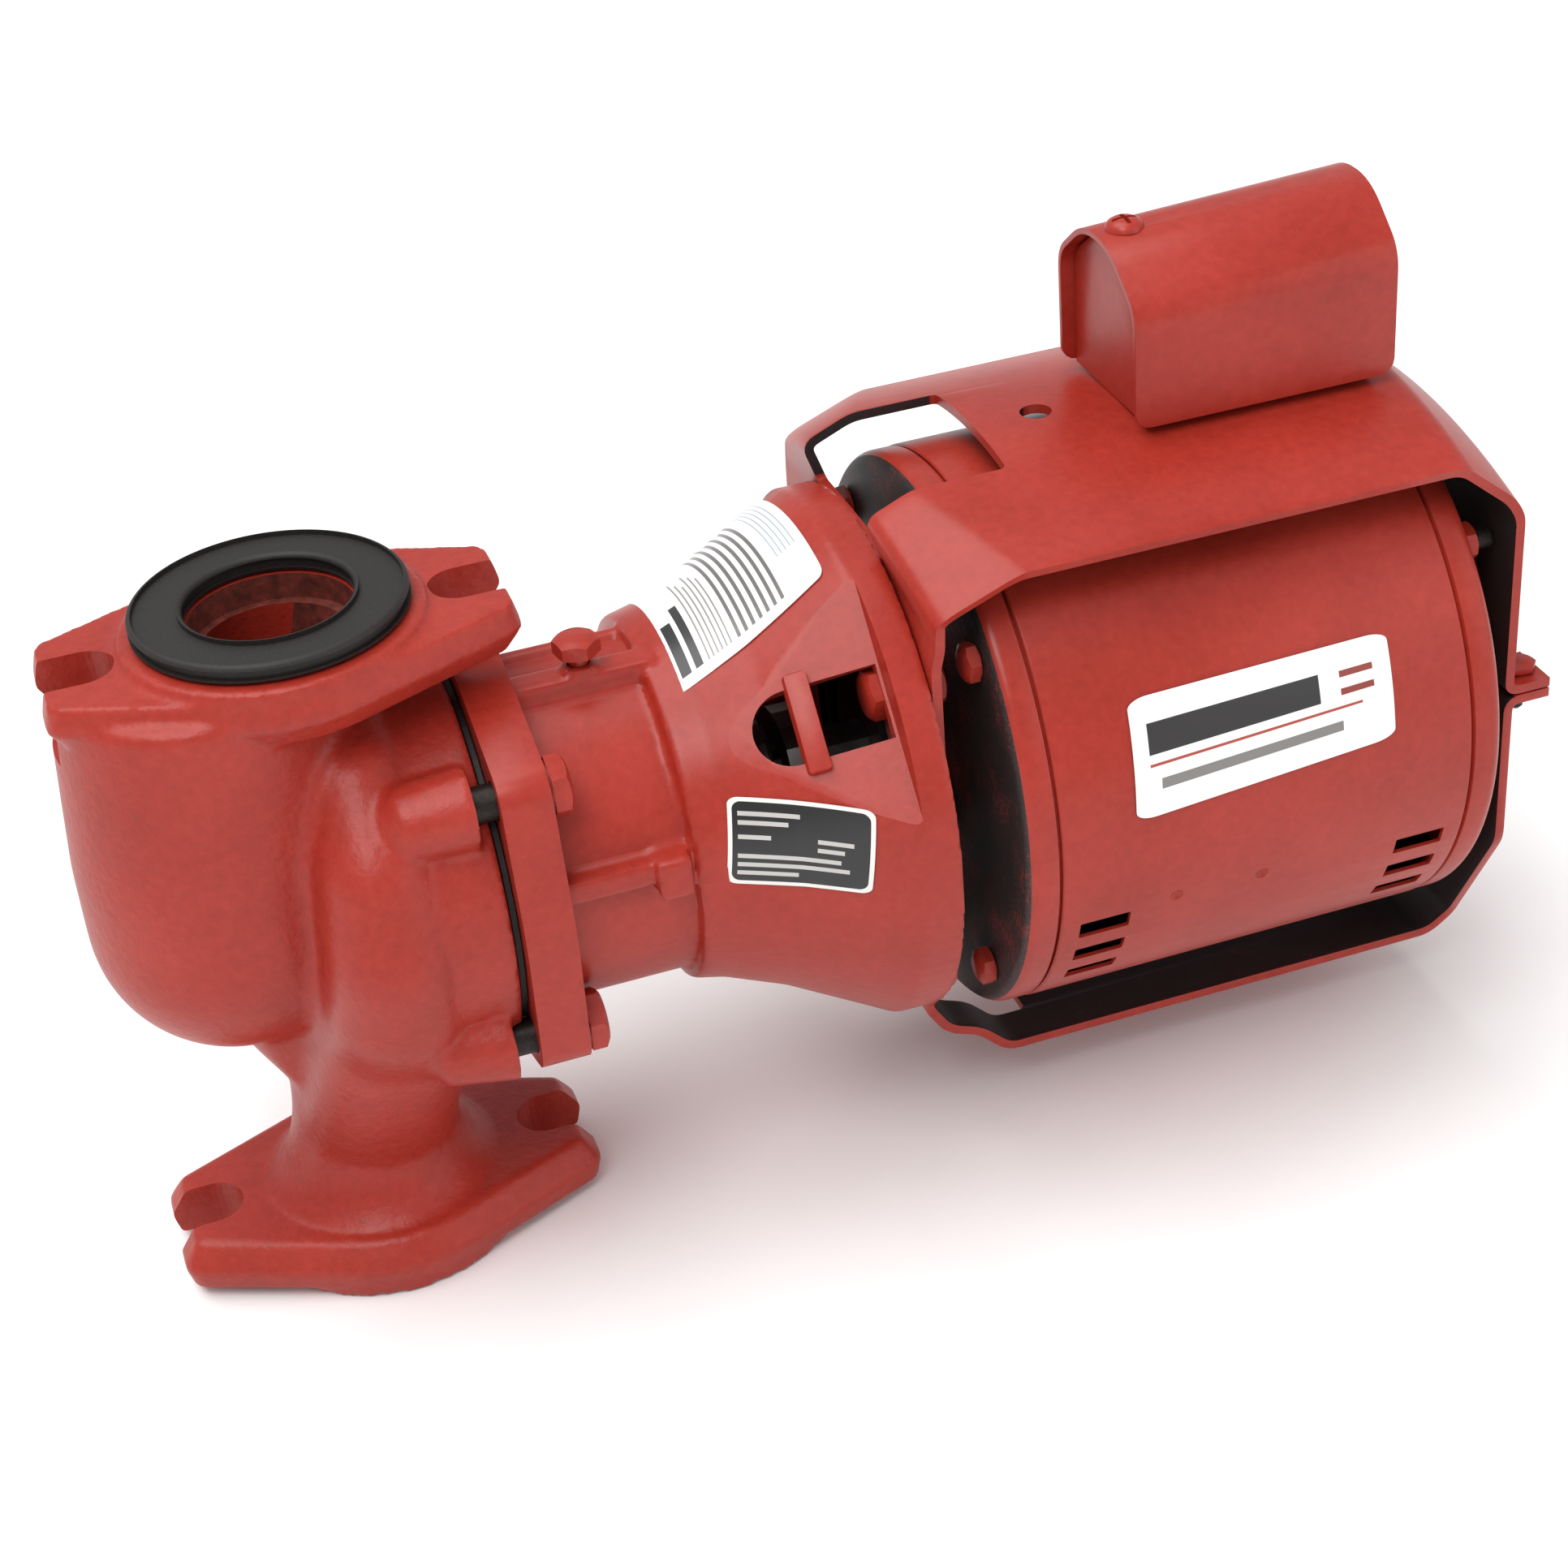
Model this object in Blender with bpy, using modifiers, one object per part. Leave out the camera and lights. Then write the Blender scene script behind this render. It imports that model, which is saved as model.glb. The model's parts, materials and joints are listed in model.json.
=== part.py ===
"""A small in-line circulator pump for hot-water heating, with its motor.

The frame: the origin is the centre of the lower pipe flange's face, +Z runs up the pipe axis to
the upper flange, +X runs along the shaft from the pump to the motor, and Y goes across.
A turned outline lists (place along the axis, radius): the outer side from its far end back to
its near end, then the inner side out again.
"""

import math

import bmesh
import bpy
from mathutils import Matrix, Vector, geometry

MM = 0.001

# Fits
GAP = 0.3 * MM  # between two pieces that touch
BOLT_FIT = 0.4 * MM  # a bolt's shank to its hole
RUN_FIT = 0.3 * MM  # a turning piece to the faces round it

# Pipe connections
FACE_TO_FACE = 162 * MM
PORT_BORE = 17.9 * MM
FLANGE_RADIUS = 34 * MM
FLANGE_THICKNESS = 14.2 * MM
FLANGE_EDGE = 7 * MM
RAISED_FACE = 2.4 * MM
FLANGE_TIP = 50 * MM
FLANGE_TIP_HALF = 17 * MM
SLOT_SPACING = 80.2 * MM
SLOT_HALF = 6.9 * MM
GASKET_RADIUS = 29.5 * MM
GASKET_THICKNESS = 4.4 * MM

# Shaft
SHAFT_HEIGHT = 95 * MM
SHAFT_RADIUS = 6.3 * MM

# Volute casing
CASING_FACE = 32.8 * MM
CASING_RADIUS = 45 * MM
CHAMBER_RADIUS = 36 * MM
CHAMBER_FLOOR = 14 * MM
EYE_RADIUS = 14 * MM
EAR_FACE = 29.6 * MM
EAR_RADIUS = 8.5 * MM
BODY_GASKET = 1.2 * MM
CASING_BOLT_RADIUS = 4 * MM
CASING_BOLT_FLATS = 6.2 * MM  # from the head's middle to a flat
CASING_BOLT_HEAD = 4.6 * MM

# Impeller and seal
IMPELLER_CLEARANCE = 1.5 * MM  # to the chamber's floor
IMPELLER_WIDTH = 14 * MM
IMPELLER_EDGE = 4 * MM  # to the chamber's wall
SPIGOT_DEPTH = 3.4 * MM
SEAT_DEPTH = 9.3 * MM
SEAT_THICKNESS = 3.7 * MM
HEAD_THICKNESS = 4.7 * MM

# Bearing bracket
PLATE_THICKNESS = 11 * MM
PLATE_RADIUS = 49 * MM
BOLT_CIRCLE = 46.9 * MM
BOSS_RADIUS = 7.2 * MM
HOUSING_RADIUS = 39.3 * MM
HOUSING_LENGTH = 29 * MM
CONE_LENGTH = 53 * MM
RIM_RADIUS = 61.8 * MM
RIM_WEB = 6.4 * MM
BRACKET_BOLT_CIRCLE = 49 * MM
SEAL_BORE = 15 * MM
SLEEVE_RADIUS = 9.7 * MM
SLEEVE_LENGTH = 11.4 * MM
OIL_WELL_RADIUS = 28 * MM
RAIL_AWAY = 8.7 * MM
RAIL_HALF = 3.7 * MM
RAIL_HEIGHT = 42.4 * MM
OIL_CAP_AWAY = 8.7 * MM
WINDOW_ANGLE = 48.5
WINDOW_HALF = 7.9 * MM
RIM_BOLT_RADIUS = 3 * MM
RIM_BOLT_FLATS = 5.2 * MM
RIM_BOLT_HEAD = 4.2 * MM
OIL_PLUG_RADIUS = 2.2 * MM
OIL_BOSS = 1.6 * MM
OIL_WELL_WIDTH = 8 * MM

# Coupler
HUB_THICKNESS = 9 * MM
COUPLER_GAP = 13.4 * MM
SHAFT_REACH = 14 * MM  # of the pump's shaft past the bracket's floor

# Motor
MOTOR_GAP = 13.3 * MM  # from the bracket's rim to the motor's front edge
MOTOR_RADIUS = 65.8 * MM
MOTOR_LENGTH = 114.3 * MM
BELL_DEPTH = 8 * MM
SHELL_WALL = 1.6 * MM
HUB_RADIUS = 19 * MM
HUB_LENGTH = 14 * MM
THROUGH_BOLT_CIRCLE = 57 * MM
CORE_LENGTH = 54 * MM
ROTOR_RADIUS = 26.5 * MM
AIR_GAP = 0.6 * MM
SEAM = 0.3 * MM
MOTOR_SLEEVE_LENGTH = 17 * MM
THROUGH_BOLT_RADIUS = 2.4 * MM

# Cradle
SHEET = 2.2 * MM
CRADLE_TOP = 169.4 * MM
CRADLE_CROWN = 118 * MM  # radius of the top band, across it
CRADLE_HALF = 49 * MM
STRAP_HALF = 28 * MM
STRAP_HEIGHT = 19 * MM
REAR_REACH = 11 * MM  # from the motor's rear edge to the rear plate
RING_RADIUS = 30 * MM
WINDOW_REACH = 30 * MM
TOP_WINDOW_NEAR = 19.5 * MM
TOP_WINDOW_FAR = 23 * MM
BASE_WINDOW_HALF = 17 * MM
LUG_LENGTH = 10.4 * MM
LUG_INNER = 36 * MM

# Junction box
BOX_LENGTH = 62 * MM
BOX_FRONT = 46.5 * MM  # behind the motor's front edge
BOX_HALF = 20.7 * MM
BOX_HEIGHT = 38 * MM
BOX_SHOULDER = 27 * MM
BOX_SHEET = 1.3 * MM
BOX_RISE = 3 * MM  # of the cover's ridge, from its front end to its rear end
CAPACITOR_RADIUS = 13 * MM

LARGE_SIDES = 32
SMALL_SIDES = 16
SHELL_SIDES = 40
BOLT_ANGLES = (45, 135, 225, 315)
CASING_BOLT_ANGLES = (48, 127, 233, 312)

# Places along the shaft that follow from the sizes above
PLATE_FRONT = CASING_FACE + BODY_GASKET + 2 * GAP
IMPELLER_START = CHAMBER_FLOOR + IMPELLER_CLEARANCE
IMPELLER_END = IMPELLER_START + IMPELLER_WIDTH
IMPELLER_RADIUS = CHAMBER_RADIUS - IMPELLER_EDGE
SPIGOT_FRONT = PLATE_FRONT - SPIGOT_DEPTH
SEAT_END = PLATE_FRONT + SEAT_DEPTH
FRONT_SLEEVE = SEAT_END + 2 * GAP
WELL_START = FRONT_SLEEVE + SLEEVE_LENGTH + GAP
WELL_END = WELL_START + OIL_WELL_WIDTH
OIL_CAP_AT = (WELL_START + WELL_END) / 2 + 1.2 * MM
REAR_SLEEVE = WELL_END + GAP
CONE_FLOOR = REAR_SLEEVE + SLEEVE_LENGTH + GAP + 2 * MM
PUMP_SHAFT_END = CONE_FLOOR + SHAFT_REACH
MOTOR_SHAFT_START = PUMP_SHAFT_END + COUPLER_GAP + 2 * MM
PLATE_REAR = PLATE_FRONT + PLATE_THICKNESS
HOUSING_END = PLATE_REAR + HOUSING_LENGTH
RIM_REAR = HOUSING_END + CONE_LENGTH
RIM_FRONT = RIM_REAR - RIM_WEB
FRONT_PLATE = RIM_REAR + GAP + SHEET / 2
MOTOR_FRONT = RIM_REAR + MOTOR_GAP
MOTOR_REAR = MOTOR_FRONT + MOTOR_LENGTH
MOTOR_MIDDLE = (MOTOR_FRONT + MOTOR_REAR) / 2
FRONT_SEAM = MOTOR_FRONT + BELL_DEPTH
REAR_SEAM = MOTOR_REAR - BELL_DEPTH
REAR_PLATE = MOTOR_REAR + REAR_REACH
BOX_START = MOTOR_FRONT + BOX_FRONT
BOX_END = BOX_START + BOX_LENGTH

for old in list(bpy.data.objects):
    bpy.data.objects.remove(old)


def collection(name):
    made = bpy.data.collections.new(name)
    bpy.context.scene.collection.children.link(made)
    return made


PARTS = collection("circulator_pump")
CUTTERS = collection("cutters")


def finish(name, colour, roughness, metallic):
    made = bpy.data.materials.new(name)
    made.use_nodes = True
    shader = made.node_tree.nodes["Principled BSDF"]
    shader.inputs["Base Color"].default_value = (*colour, 1)
    shader.inputs["Roughness"].default_value = roughness
    shader.inputs["Metallic"].default_value = metallic
    return made


FINISHES = {
    "red_paint": ((0.42, 0.055, 0.04), 0.4, 0.0),
    "dark_rubber": ((0.03, 0.026, 0.024), 0.7, 0.0),
    "bronze": ((0.5, 0.32, 0.12), 0.4, 1.0),
    "steel": ((0.5, 0.5, 0.5), 0.35, 1.0),
    "core_steel": ((0.2, 0.2, 0.21), 0.5, 1.0),
    "copper": ((0.6, 0.25, 0.12), 0.4, 1.0),
    "felt": ((0.7, 0.66, 0.55), 0.95, 0.0),
    "carbon": ((0.05, 0.05, 0.055), 0.35, 0.0),
    "ceramic": ((0.85, 0.83, 0.78), 0.3, 0.0),
    "capacitor_can": ((0.1, 0.1, 0.11), 0.4, 0.0),
}


# --- Shapes ---------------------------------------------------------------------------------


def placed(name, mesh, at=(0, 0, 0)):
    made = bpy.data.objects.new(name, mesh)
    made.location = at
    PARTS.objects.link(made)
    return made


def from_bmesh(name, bm, at=(0, 0, 0)):
    bmesh.ops.recalc_face_normals(bm, faces=bm.faces)
    mesh = bpy.data.meshes.new(name)
    bm.to_mesh(mesh)
    bm.free()
    return placed(name, mesh, at)


def turned(name, outline, axis="X", at=(0, 0, SHAFT_HEIGHT), sides=LARGE_SIDES, closed=True):
    """A turned piece, about the shaft unless it is said otherwise."""
    edges = [(i, i + 1) for i in range(len(outline) - 1)]
    if closed:
        edges.append((len(outline) - 1, 0))
    if axis == "X":
        points = [(along, 0, radius) for along, radius in outline]
    else:
        points = [(radius, 0, along) for along, radius in outline]
    mesh = bpy.data.meshes.new(name)
    mesh.from_pydata(points, edges, [])
    made = placed(name, mesh, at)
    turn = made.modifiers.new("turn", "SCREW")
    turn.axis = axis
    turn.steps = sides
    turn.render_steps = sides
    turn.use_merge_vertices = True
    turn.merge_threshold = 1e-6
    return made


def ring(name, start, end, inner, outer, sides=LARGE_SIDES):
    outline = [(end, outer), (start, outer), (start, inner), (end, inner)]
    return turned(name, outline, sides=sides)


def rod(name, start, end, radius, sides=SMALL_SIDES):
    """A round bar between two points."""
    start, end = Vector(start), Vector(end)
    along = end - start
    turn = along.to_track_quat("Z", "Y").to_matrix().to_4x4()
    bm = bmesh.new()
    bmesh.ops.create_cone(
        bm,
        cap_ends=True,
        segments=sides,
        radius1=radius,
        radius2=radius,
        depth=along.length,
        matrix=Matrix.Translation((start + end) / 2) @ turn,
    )
    return from_bmesh(name, bm)


def block(name, low, high, rounding=0):
    low, high = Vector(low), Vector(high)
    bm = bmesh.new()
    bmesh.ops.create_cube(bm, size=1)
    bmesh.ops.scale(bm, vec=high - low, verts=bm.verts)
    bmesh.ops.translate(bm, vec=(low + high) / 2, verts=bm.verts)
    made = from_bmesh(name, bm)
    if rounding:
        edge = made.modifiers.new("edge", "BEVEL")
        edge.width = rounding
        edge.segments = 2
    return made


def circle(centre, radius, sides=SMALL_SIDES, axis="Z"):
    """Points round a circle."""
    turns = [2 * math.pi * i / sides for i in range(sides)]
    flat = [(radius * math.cos(a), radius * math.sin(a)) for a in turns]
    if axis == "Z":
        return [Vector(centre) + Vector((u, v, 0)) for u, v in flat]
    return [Vector(centre) + Vector((0, u, v)) for u, v in flat]


def ball(centre, radius, sides=SMALL_SIDES):
    points = []
    for i in range(1, sides // 2):
        polar = math.pi * i / (sides // 2)
        level = Vector(centre) + Vector((0, 0, radius * math.cos(polar)))
        points += circle(level, radius * math.sin(polar), sides)
    return points


def hull(name, points):
    """The tightest solid round some points."""
    bm = bmesh.new()
    for point in points:
        bm.verts.new(point)
    made = bmesh.ops.convex_hull(bm, input=bm.verts)
    spare = set(made["geom_interior"]) | set(made["geom_unused"])
    inner = [item for item in spare if isinstance(item, bmesh.types.BMVert)]
    bmesh.ops.delete(bm, geom=inner, context="VERTS")
    bmesh.ops.dissolve_limit(bm, angle_limit=0.002, verts=bm.verts, edges=bm.edges)
    return from_bmesh(name, bm)


def combined(made, other, operation):
    change = made.modifiers.new(other.name, "BOOLEAN")
    change.operation = operation
    change.solver = "EXACT"
    change.object = other
    other.hide_render = True
    other.display_type = "WIRE"
    PARTS.objects.unlink(other)
    CUTTERS.objects.link(other)


def add(made, *others):
    for other in others:
        combined(made, other, "UNION")


def cut(made, *others):
    for other in others:
        combined(made, other, "DIFFERENCE")


def around(radius, degrees, along=0.0):
    """A point at a radius from the shaft, turned from straight up towards -Y."""
    turn = math.radians(degrees)
    return Vector((along, -radius * math.sin(turn), SHAFT_HEIGHT + radius * math.cos(turn)))


def hexagon(half_flats, level):
    """Six corners and the six points between them, so that it meets a twelve-sided shank."""
    corner = half_flats / math.cos(math.pi / 6)
    points = []
    for i in range(12):
        radius = corner if i % 2 == 0 else half_flats
        turn = math.pi * i / 6
        points.append(Vector((radius * math.cos(turn), radius * math.sin(turn), level)))
    return points


def lofted(name, rings):
    """A skin over rings of equally many points, closed at both ends."""
    bm = bmesh.new()
    loops = [[bm.verts.new(point) for point in points] for points in rings]
    for lower, upper in zip(loops, loops[1:]):
        for i in range(len(lower)):
            j = (i + 1) % len(lower)
            bm.faces.new((lower[i], lower[j], upper[j], upper[i]))
    bm.faces.new(reversed(loops[0]))
    bm.faces.new(loops[-1])
    return from_bmesh(name, bm)


def hex_bolt(name, seat, direction, half_flats, head, radius, length):
    """A bolt whose head rests on a seat and whose shank goes the other way."""
    made = lofted(
        name,
        [
            circle((0, 0, -length), radius, 12),
            circle((0, 0, 0), radius, 12),
            hexagon(half_flats, 0),
            hexagon(half_flats, head),
        ],
    )
    made.location = seat
    made.rotation_euler = Vector(direction).to_track_quat("Z", "Y").to_euler()
    return made


def hex_nut(name, seat, direction, half_flats, height, bore):
    made = lofted(name, [hexagon(half_flats, 0), hexagon(half_flats, height)])
    cut(made, rod(name + "_hole", (0, 0, -height), (0, 0, 2 * height), bore, 12))
    hole = bpy.data.objects[name + "_hole"]
    hole.parent = made
    made.location = seat
    made.rotation_euler = Vector(direction).to_track_quat("Z", "Y").to_euler()
    return made


def helix(name, start, end, radius, wire, turns):
    """A coil spring round the shaft, of round wire."""
    steps = int(turns * 12)
    curve = bpy.data.curves.new(name, "CURVE")
    curve.dimensions = "3D"
    curve.bevel_depth = wire
    curve.bevel_resolution = 1
    curve.use_fill_caps = True
    spline = curve.splines.new("POLY")
    spline.points.add(steps)
    for i, point in enumerate(spline.points):
        turn = 2 * math.pi * turns * i / steps
        along = start + (end - start) * i / steps
        point.co = (along, radius * math.sin(turn), radius * math.cos(turn), 1)
    return placed(name, curve, (0, 0, SHAFT_HEIGHT))


# --- Wet end --------------------------------------------------------------------------------


def flange(name, face, inward):
    """A two-bolt pipe flange: its face at a height, its back tapering towards the casing."""
    points = []
    corner = 5 * MM
    for depth, shrink in ((RAISED_FACE, 0), (FLANGE_EDGE, 0), (FLANGE_THICKNESS, 7 * MM)):
        level = face + inward * depth
        points += circle((0, 0, level), FLANGE_RADIUS - shrink, LARGE_SIDES)
        for x in (-1, 1):
            for y in (-1, 1):
                tip = x * (FLANGE_TIP - corner), y * (FLANGE_TIP_HALF - corner - shrink / 4), level
                points += circle(tip, corner, 12)
    body = hull(name, points)
    raised = rod(
        name + "_raised_face",
        (0, 0, face),
        (0, 0, face + inward * FLANGE_EDGE),
        FLANGE_RADIUS - 1.5 * MM,
        LARGE_SIDES,
    )
    add(body, raised)
    return body


def flange_slot(name, side, low, high):
    slot_end = SLOT_SPACING / 2
    points = []
    for level in (low, high):
        points += circle((side * slot_end, 0, level), SLOT_HALF, SMALL_SIDES)
        for y in (-SLOT_HALF, SLOT_HALF):
            points.append((side * (FLANGE_TIP + 12 * MM), y, level))
    return hull(name, points)


def volute_casing():
    top = FACE_TO_FACE
    casing = turned(
        "volute_casing",
        [
            (CASING_FACE, 0),
            (CASING_FACE, CASING_RADIUS),
            (CHAMBER_FLOOR - 2 * MM, CASING_RADIUS),
            (CHAMBER_FLOOR - 10 * MM, CASING_RADIUS - 8 * MM),
            (CHAMBER_FLOOR - 16 * MM, 0),
        ],
        closed=False,
    )
    wall = 7 * MM
    bend = (-20.5 * MM, 0, SHAFT_HEIGHT - 2.5 * MM)
    bend_radius = 25 * MM
    bulb_top = (-16 * MM, 0, top - FLANGE_EDGE - 2 * MM)
    bulb = circle(bulb_top, FLANGE_RADIUS, LARGE_SIDES) + ball(bend, bend_radius + wall, 24)
    foot, throat = (0, 0, FLANGE_EDGE), (8 * MM, 0, SHAFT_HEIGHT - 33 * MM)
    neck = circle(foot, 19.5 * MM) + circle(throat, 24 * MM)
    add(
        casing,
        hull("suction_bulb", bulb),
        hull("discharge_neck", neck),
        flange("lower_flange", 0, 1),
        flange("upper_flange", top, -1),
    )
    for angle in CASING_BOLT_ANGLES:
        ear = circle(around(BOLT_CIRCLE, angle, EAR_FACE), EAR_RADIUS, 16, "X")
        ear += circle(around(BOLT_CIRCLE, angle, CHAMBER_FLOOR - 6 * MM), EAR_RADIUS, 16, "X")
        ear += circle(around(CASING_RADIUS - 12 * MM, angle, EAR_FACE), EAR_RADIUS, 16, "X")
        add(casing, hull(f"ear_{angle}", ear))
    beyond = 2 * MM
    inlet = circle((0, 0, top + beyond), PORT_BORE) + ball(bend, bend_radius)
    outlet = circle((0, 0, -beyond), 13 * MM)
    outlet += circle((19 * MM, 0, SHAFT_HEIGHT - CHAMBER_RADIUS + 3 * MM), 8.5 * MM)
    shaft_line = (0, 0, SHAFT_HEIGHT)
    cut(
        casing,
        hull("inlet_passage", inlet),
        hull("outlet_passage", outlet),
        rod("lower_port", (0, 0, -beyond), (0, 0, 9 * MM), PORT_BORE),
        rod("eye", (bend[0], 0, SHAFT_HEIGHT), (CHAMBER_FLOOR + beyond, 0, SHAFT_HEIGHT), EYE_RADIUS),
        rod(
            "chamber",
            Vector(shaft_line) + Vector((CHAMBER_FLOOR, 0, 0)),
            Vector(shaft_line) + Vector((CASING_FACE + beyond, 0, 0)),
            CHAMBER_RADIUS,
            LARGE_SIDES,
        ),
    )
    for side, label in ((-1, "left"), (1, "right")):
        cut(
            casing,
            flange_slot(f"lower_slot_{label}", side, -beyond, FLANGE_THICKNESS + 4 * MM),
            flange_slot(f"upper_slot_{label}", side, top - 20 * MM, top + beyond),
        )
    for angle in CASING_BOLT_ANGLES:
        start = around(BOLT_CIRCLE, angle, CHAMBER_FLOOR - 4 * MM)
        end = around(BOLT_CIRCLE, angle, CASING_FACE + beyond)
        cut(casing, rod(f"ear_hole_{angle}", start, end, CASING_BOLT_RADIUS + BOLT_FIT, 12))
    return casing


def body_gasket():
    start = CASING_FACE + GAP
    outer = BOLT_CIRCLE - CASING_BOLT_RADIUS - BOLT_FIT
    ring("body_gasket", start, start + BODY_GASKET, CHAMBER_RADIUS, outer)


def flange_gasket():
    low = FACE_TO_FACE + GAP
    high = low + GASKET_THICKNESS
    edge = 1.2 * MM
    return turned(
        "upper_flange_gasket",
        [
            (high, GASKET_RADIUS - edge),
            (high - edge, GASKET_RADIUS),
            (low, GASKET_RADIUS),
            (low, PORT_BORE),
            (high - edge, PORT_BORE),
            (high, PORT_BORE + edge),
        ],
        axis="Z",
        at=(0, 0, 0),
    )


def impeller():
    """A closed wheel: two shrouds with curved vanes between them, on a hub."""
    shroud = 2 * MM
    back = IMPELLER_END - 3 * MM
    bore = SHAFT_RADIUS + GAP
    hub = bore + 2 * MM
    wheel = turned(
        "impeller",
        [
            (IMPELLER_END, IMPELLER_RADIUS),
            (back, IMPELLER_RADIUS),
            (back, hub),
            (IMPELLER_START, hub),
            (IMPELLER_START, bore),
            (IMPELLER_END, bore),
        ],
    )
    front = [
        (IMPELLER_START + shroud, IMPELLER_RADIUS),
        (IMPELLER_START, IMPELLER_RADIUS),
        (IMPELLER_START, EYE_RADIUS - 0.5 * MM),
        (IMPELLER_START + shroud, EYE_RADIUS - 0.5 * MM),
    ]
    vanes = 6
    overlap = 0.5 * MM
    for i in range(vanes):
        path = []
        for step in range(5):
            part = step / 4
            radius = hub + 1.5 * MM + part * (IMPELLER_RADIUS - hub - 2.5 * MM)
            path.append((radius, 360 * i / vanes + 55 * part))
        sections = []
        for radius, degrees in path:
            half = 0.9 * MM / radius * 180 / math.pi
            low, high = IMPELLER_START + overlap, back + overlap
            sections.append(
                [
                    around(radius, degrees - half, low),
                    around(radius, degrees + half, low),
                    around(radius, degrees + half, high),
                    around(radius, degrees - half, high),
                ]
            )
        add(wheel, lofted(f"vane_{i + 1}", sections))
    add(wheel, turned("front_shroud", front))
    return wheel


def seal_and_shaft():
    bore = SHAFT_RADIUS + GAP
    nut_height = 4.6 * MM
    nut_at = (IMPELLER_START - GAP - nut_height, 0, SHAFT_HEIGHT)
    hex_nut("impeller_nut", nut_at, (1, 0, 0), 8.5 * MM, nut_height, bore)
    seat_start = SEAT_END - SEAT_THICKNESS
    head_start = seat_start - GAP - HEAD_THICKNESS
    ring("seal_seat", seat_start, SEAT_END, bore + RUN_FIT, SEAL_BORE - GAP, SMALL_SIDES)
    ring("seal_head", head_start, seat_start - GAP, bore, SEAL_BORE - 3 * MM, SMALL_SIDES)
    wire = 0.8 * MM
    helix(
        "seal_spring",
        IMPELLER_END + wire + GAP,
        head_start - wire - GAP,
        SHAFT_RADIUS + 2.6 * MM,
        wire,
        2,
    )
    shaft_start = nut_at[0] - 1.5 * MM
    rod("pump_shaft", (shaft_start, 0, 0), (PUMP_SHAFT_END, 0, 0), SHAFT_RADIUS).location.z = SHAFT_HEIGHT


# --- Bearing bracket ------------------------------------------------------------------------

def window_tools(label, angle):
    """The flat facet, the slot through its floor and the bar over the slot, turned to an angle."""
    turn = Matrix.Translation((0, 0, SHAFT_HEIGHT)) @ Matrix.Rotation(math.radians(angle), 4, "X")
    facet_start, facet_end = HOUSING_END + 8 * MM, RIM_REAR - 7.6 * MM
    floor_start, floor_end = HOUSING_RADIUS + 5.2 * MM, RIM_RADIUS - 6.1 * MM
    wide, high = 32 * MM, RIM_RADIUS + 30 * MM
    facet = []
    for y in (-wide, wide):
        facet += [
            (facet_start, y, floor_start),
            (facet_end, y, floor_end),
            (facet_end, y, high),
            (facet_start, y, high),
        ]
    round_end = HOUSING_END + 25 * MM
    slot = []
    for level in (floor_start - 18 * MM, high):
        slot += circle((round_end, 0, level), WINDOW_HALF)
        for y in (-WINDOW_HALF, WINDOW_HALF):
            slot.append((facet_end - 0.6 * MM, y, level))
    bar_start, bar_end = round_end + 0.5 * MM, round_end + 5.2 * MM
    slope = (floor_end - floor_start) / (facet_end - facet_start)
    bar = []
    for x in (bar_start, bar_end):
        floor = floor_start + slope * (x - facet_start)
        for y in (-11 * MM, 11 * MM):
            bar += [(x, y, floor - 0.8 * MM), (x, y, floor + 2.4 * MM)]
    made = []
    for kind, points in (("facet", facet), ("slot", slot), ("bar", bar)):
        made.append(hull(f"window_{kind}_{label}", [turn @ Vector(point) for point in points]))
    return made


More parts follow.
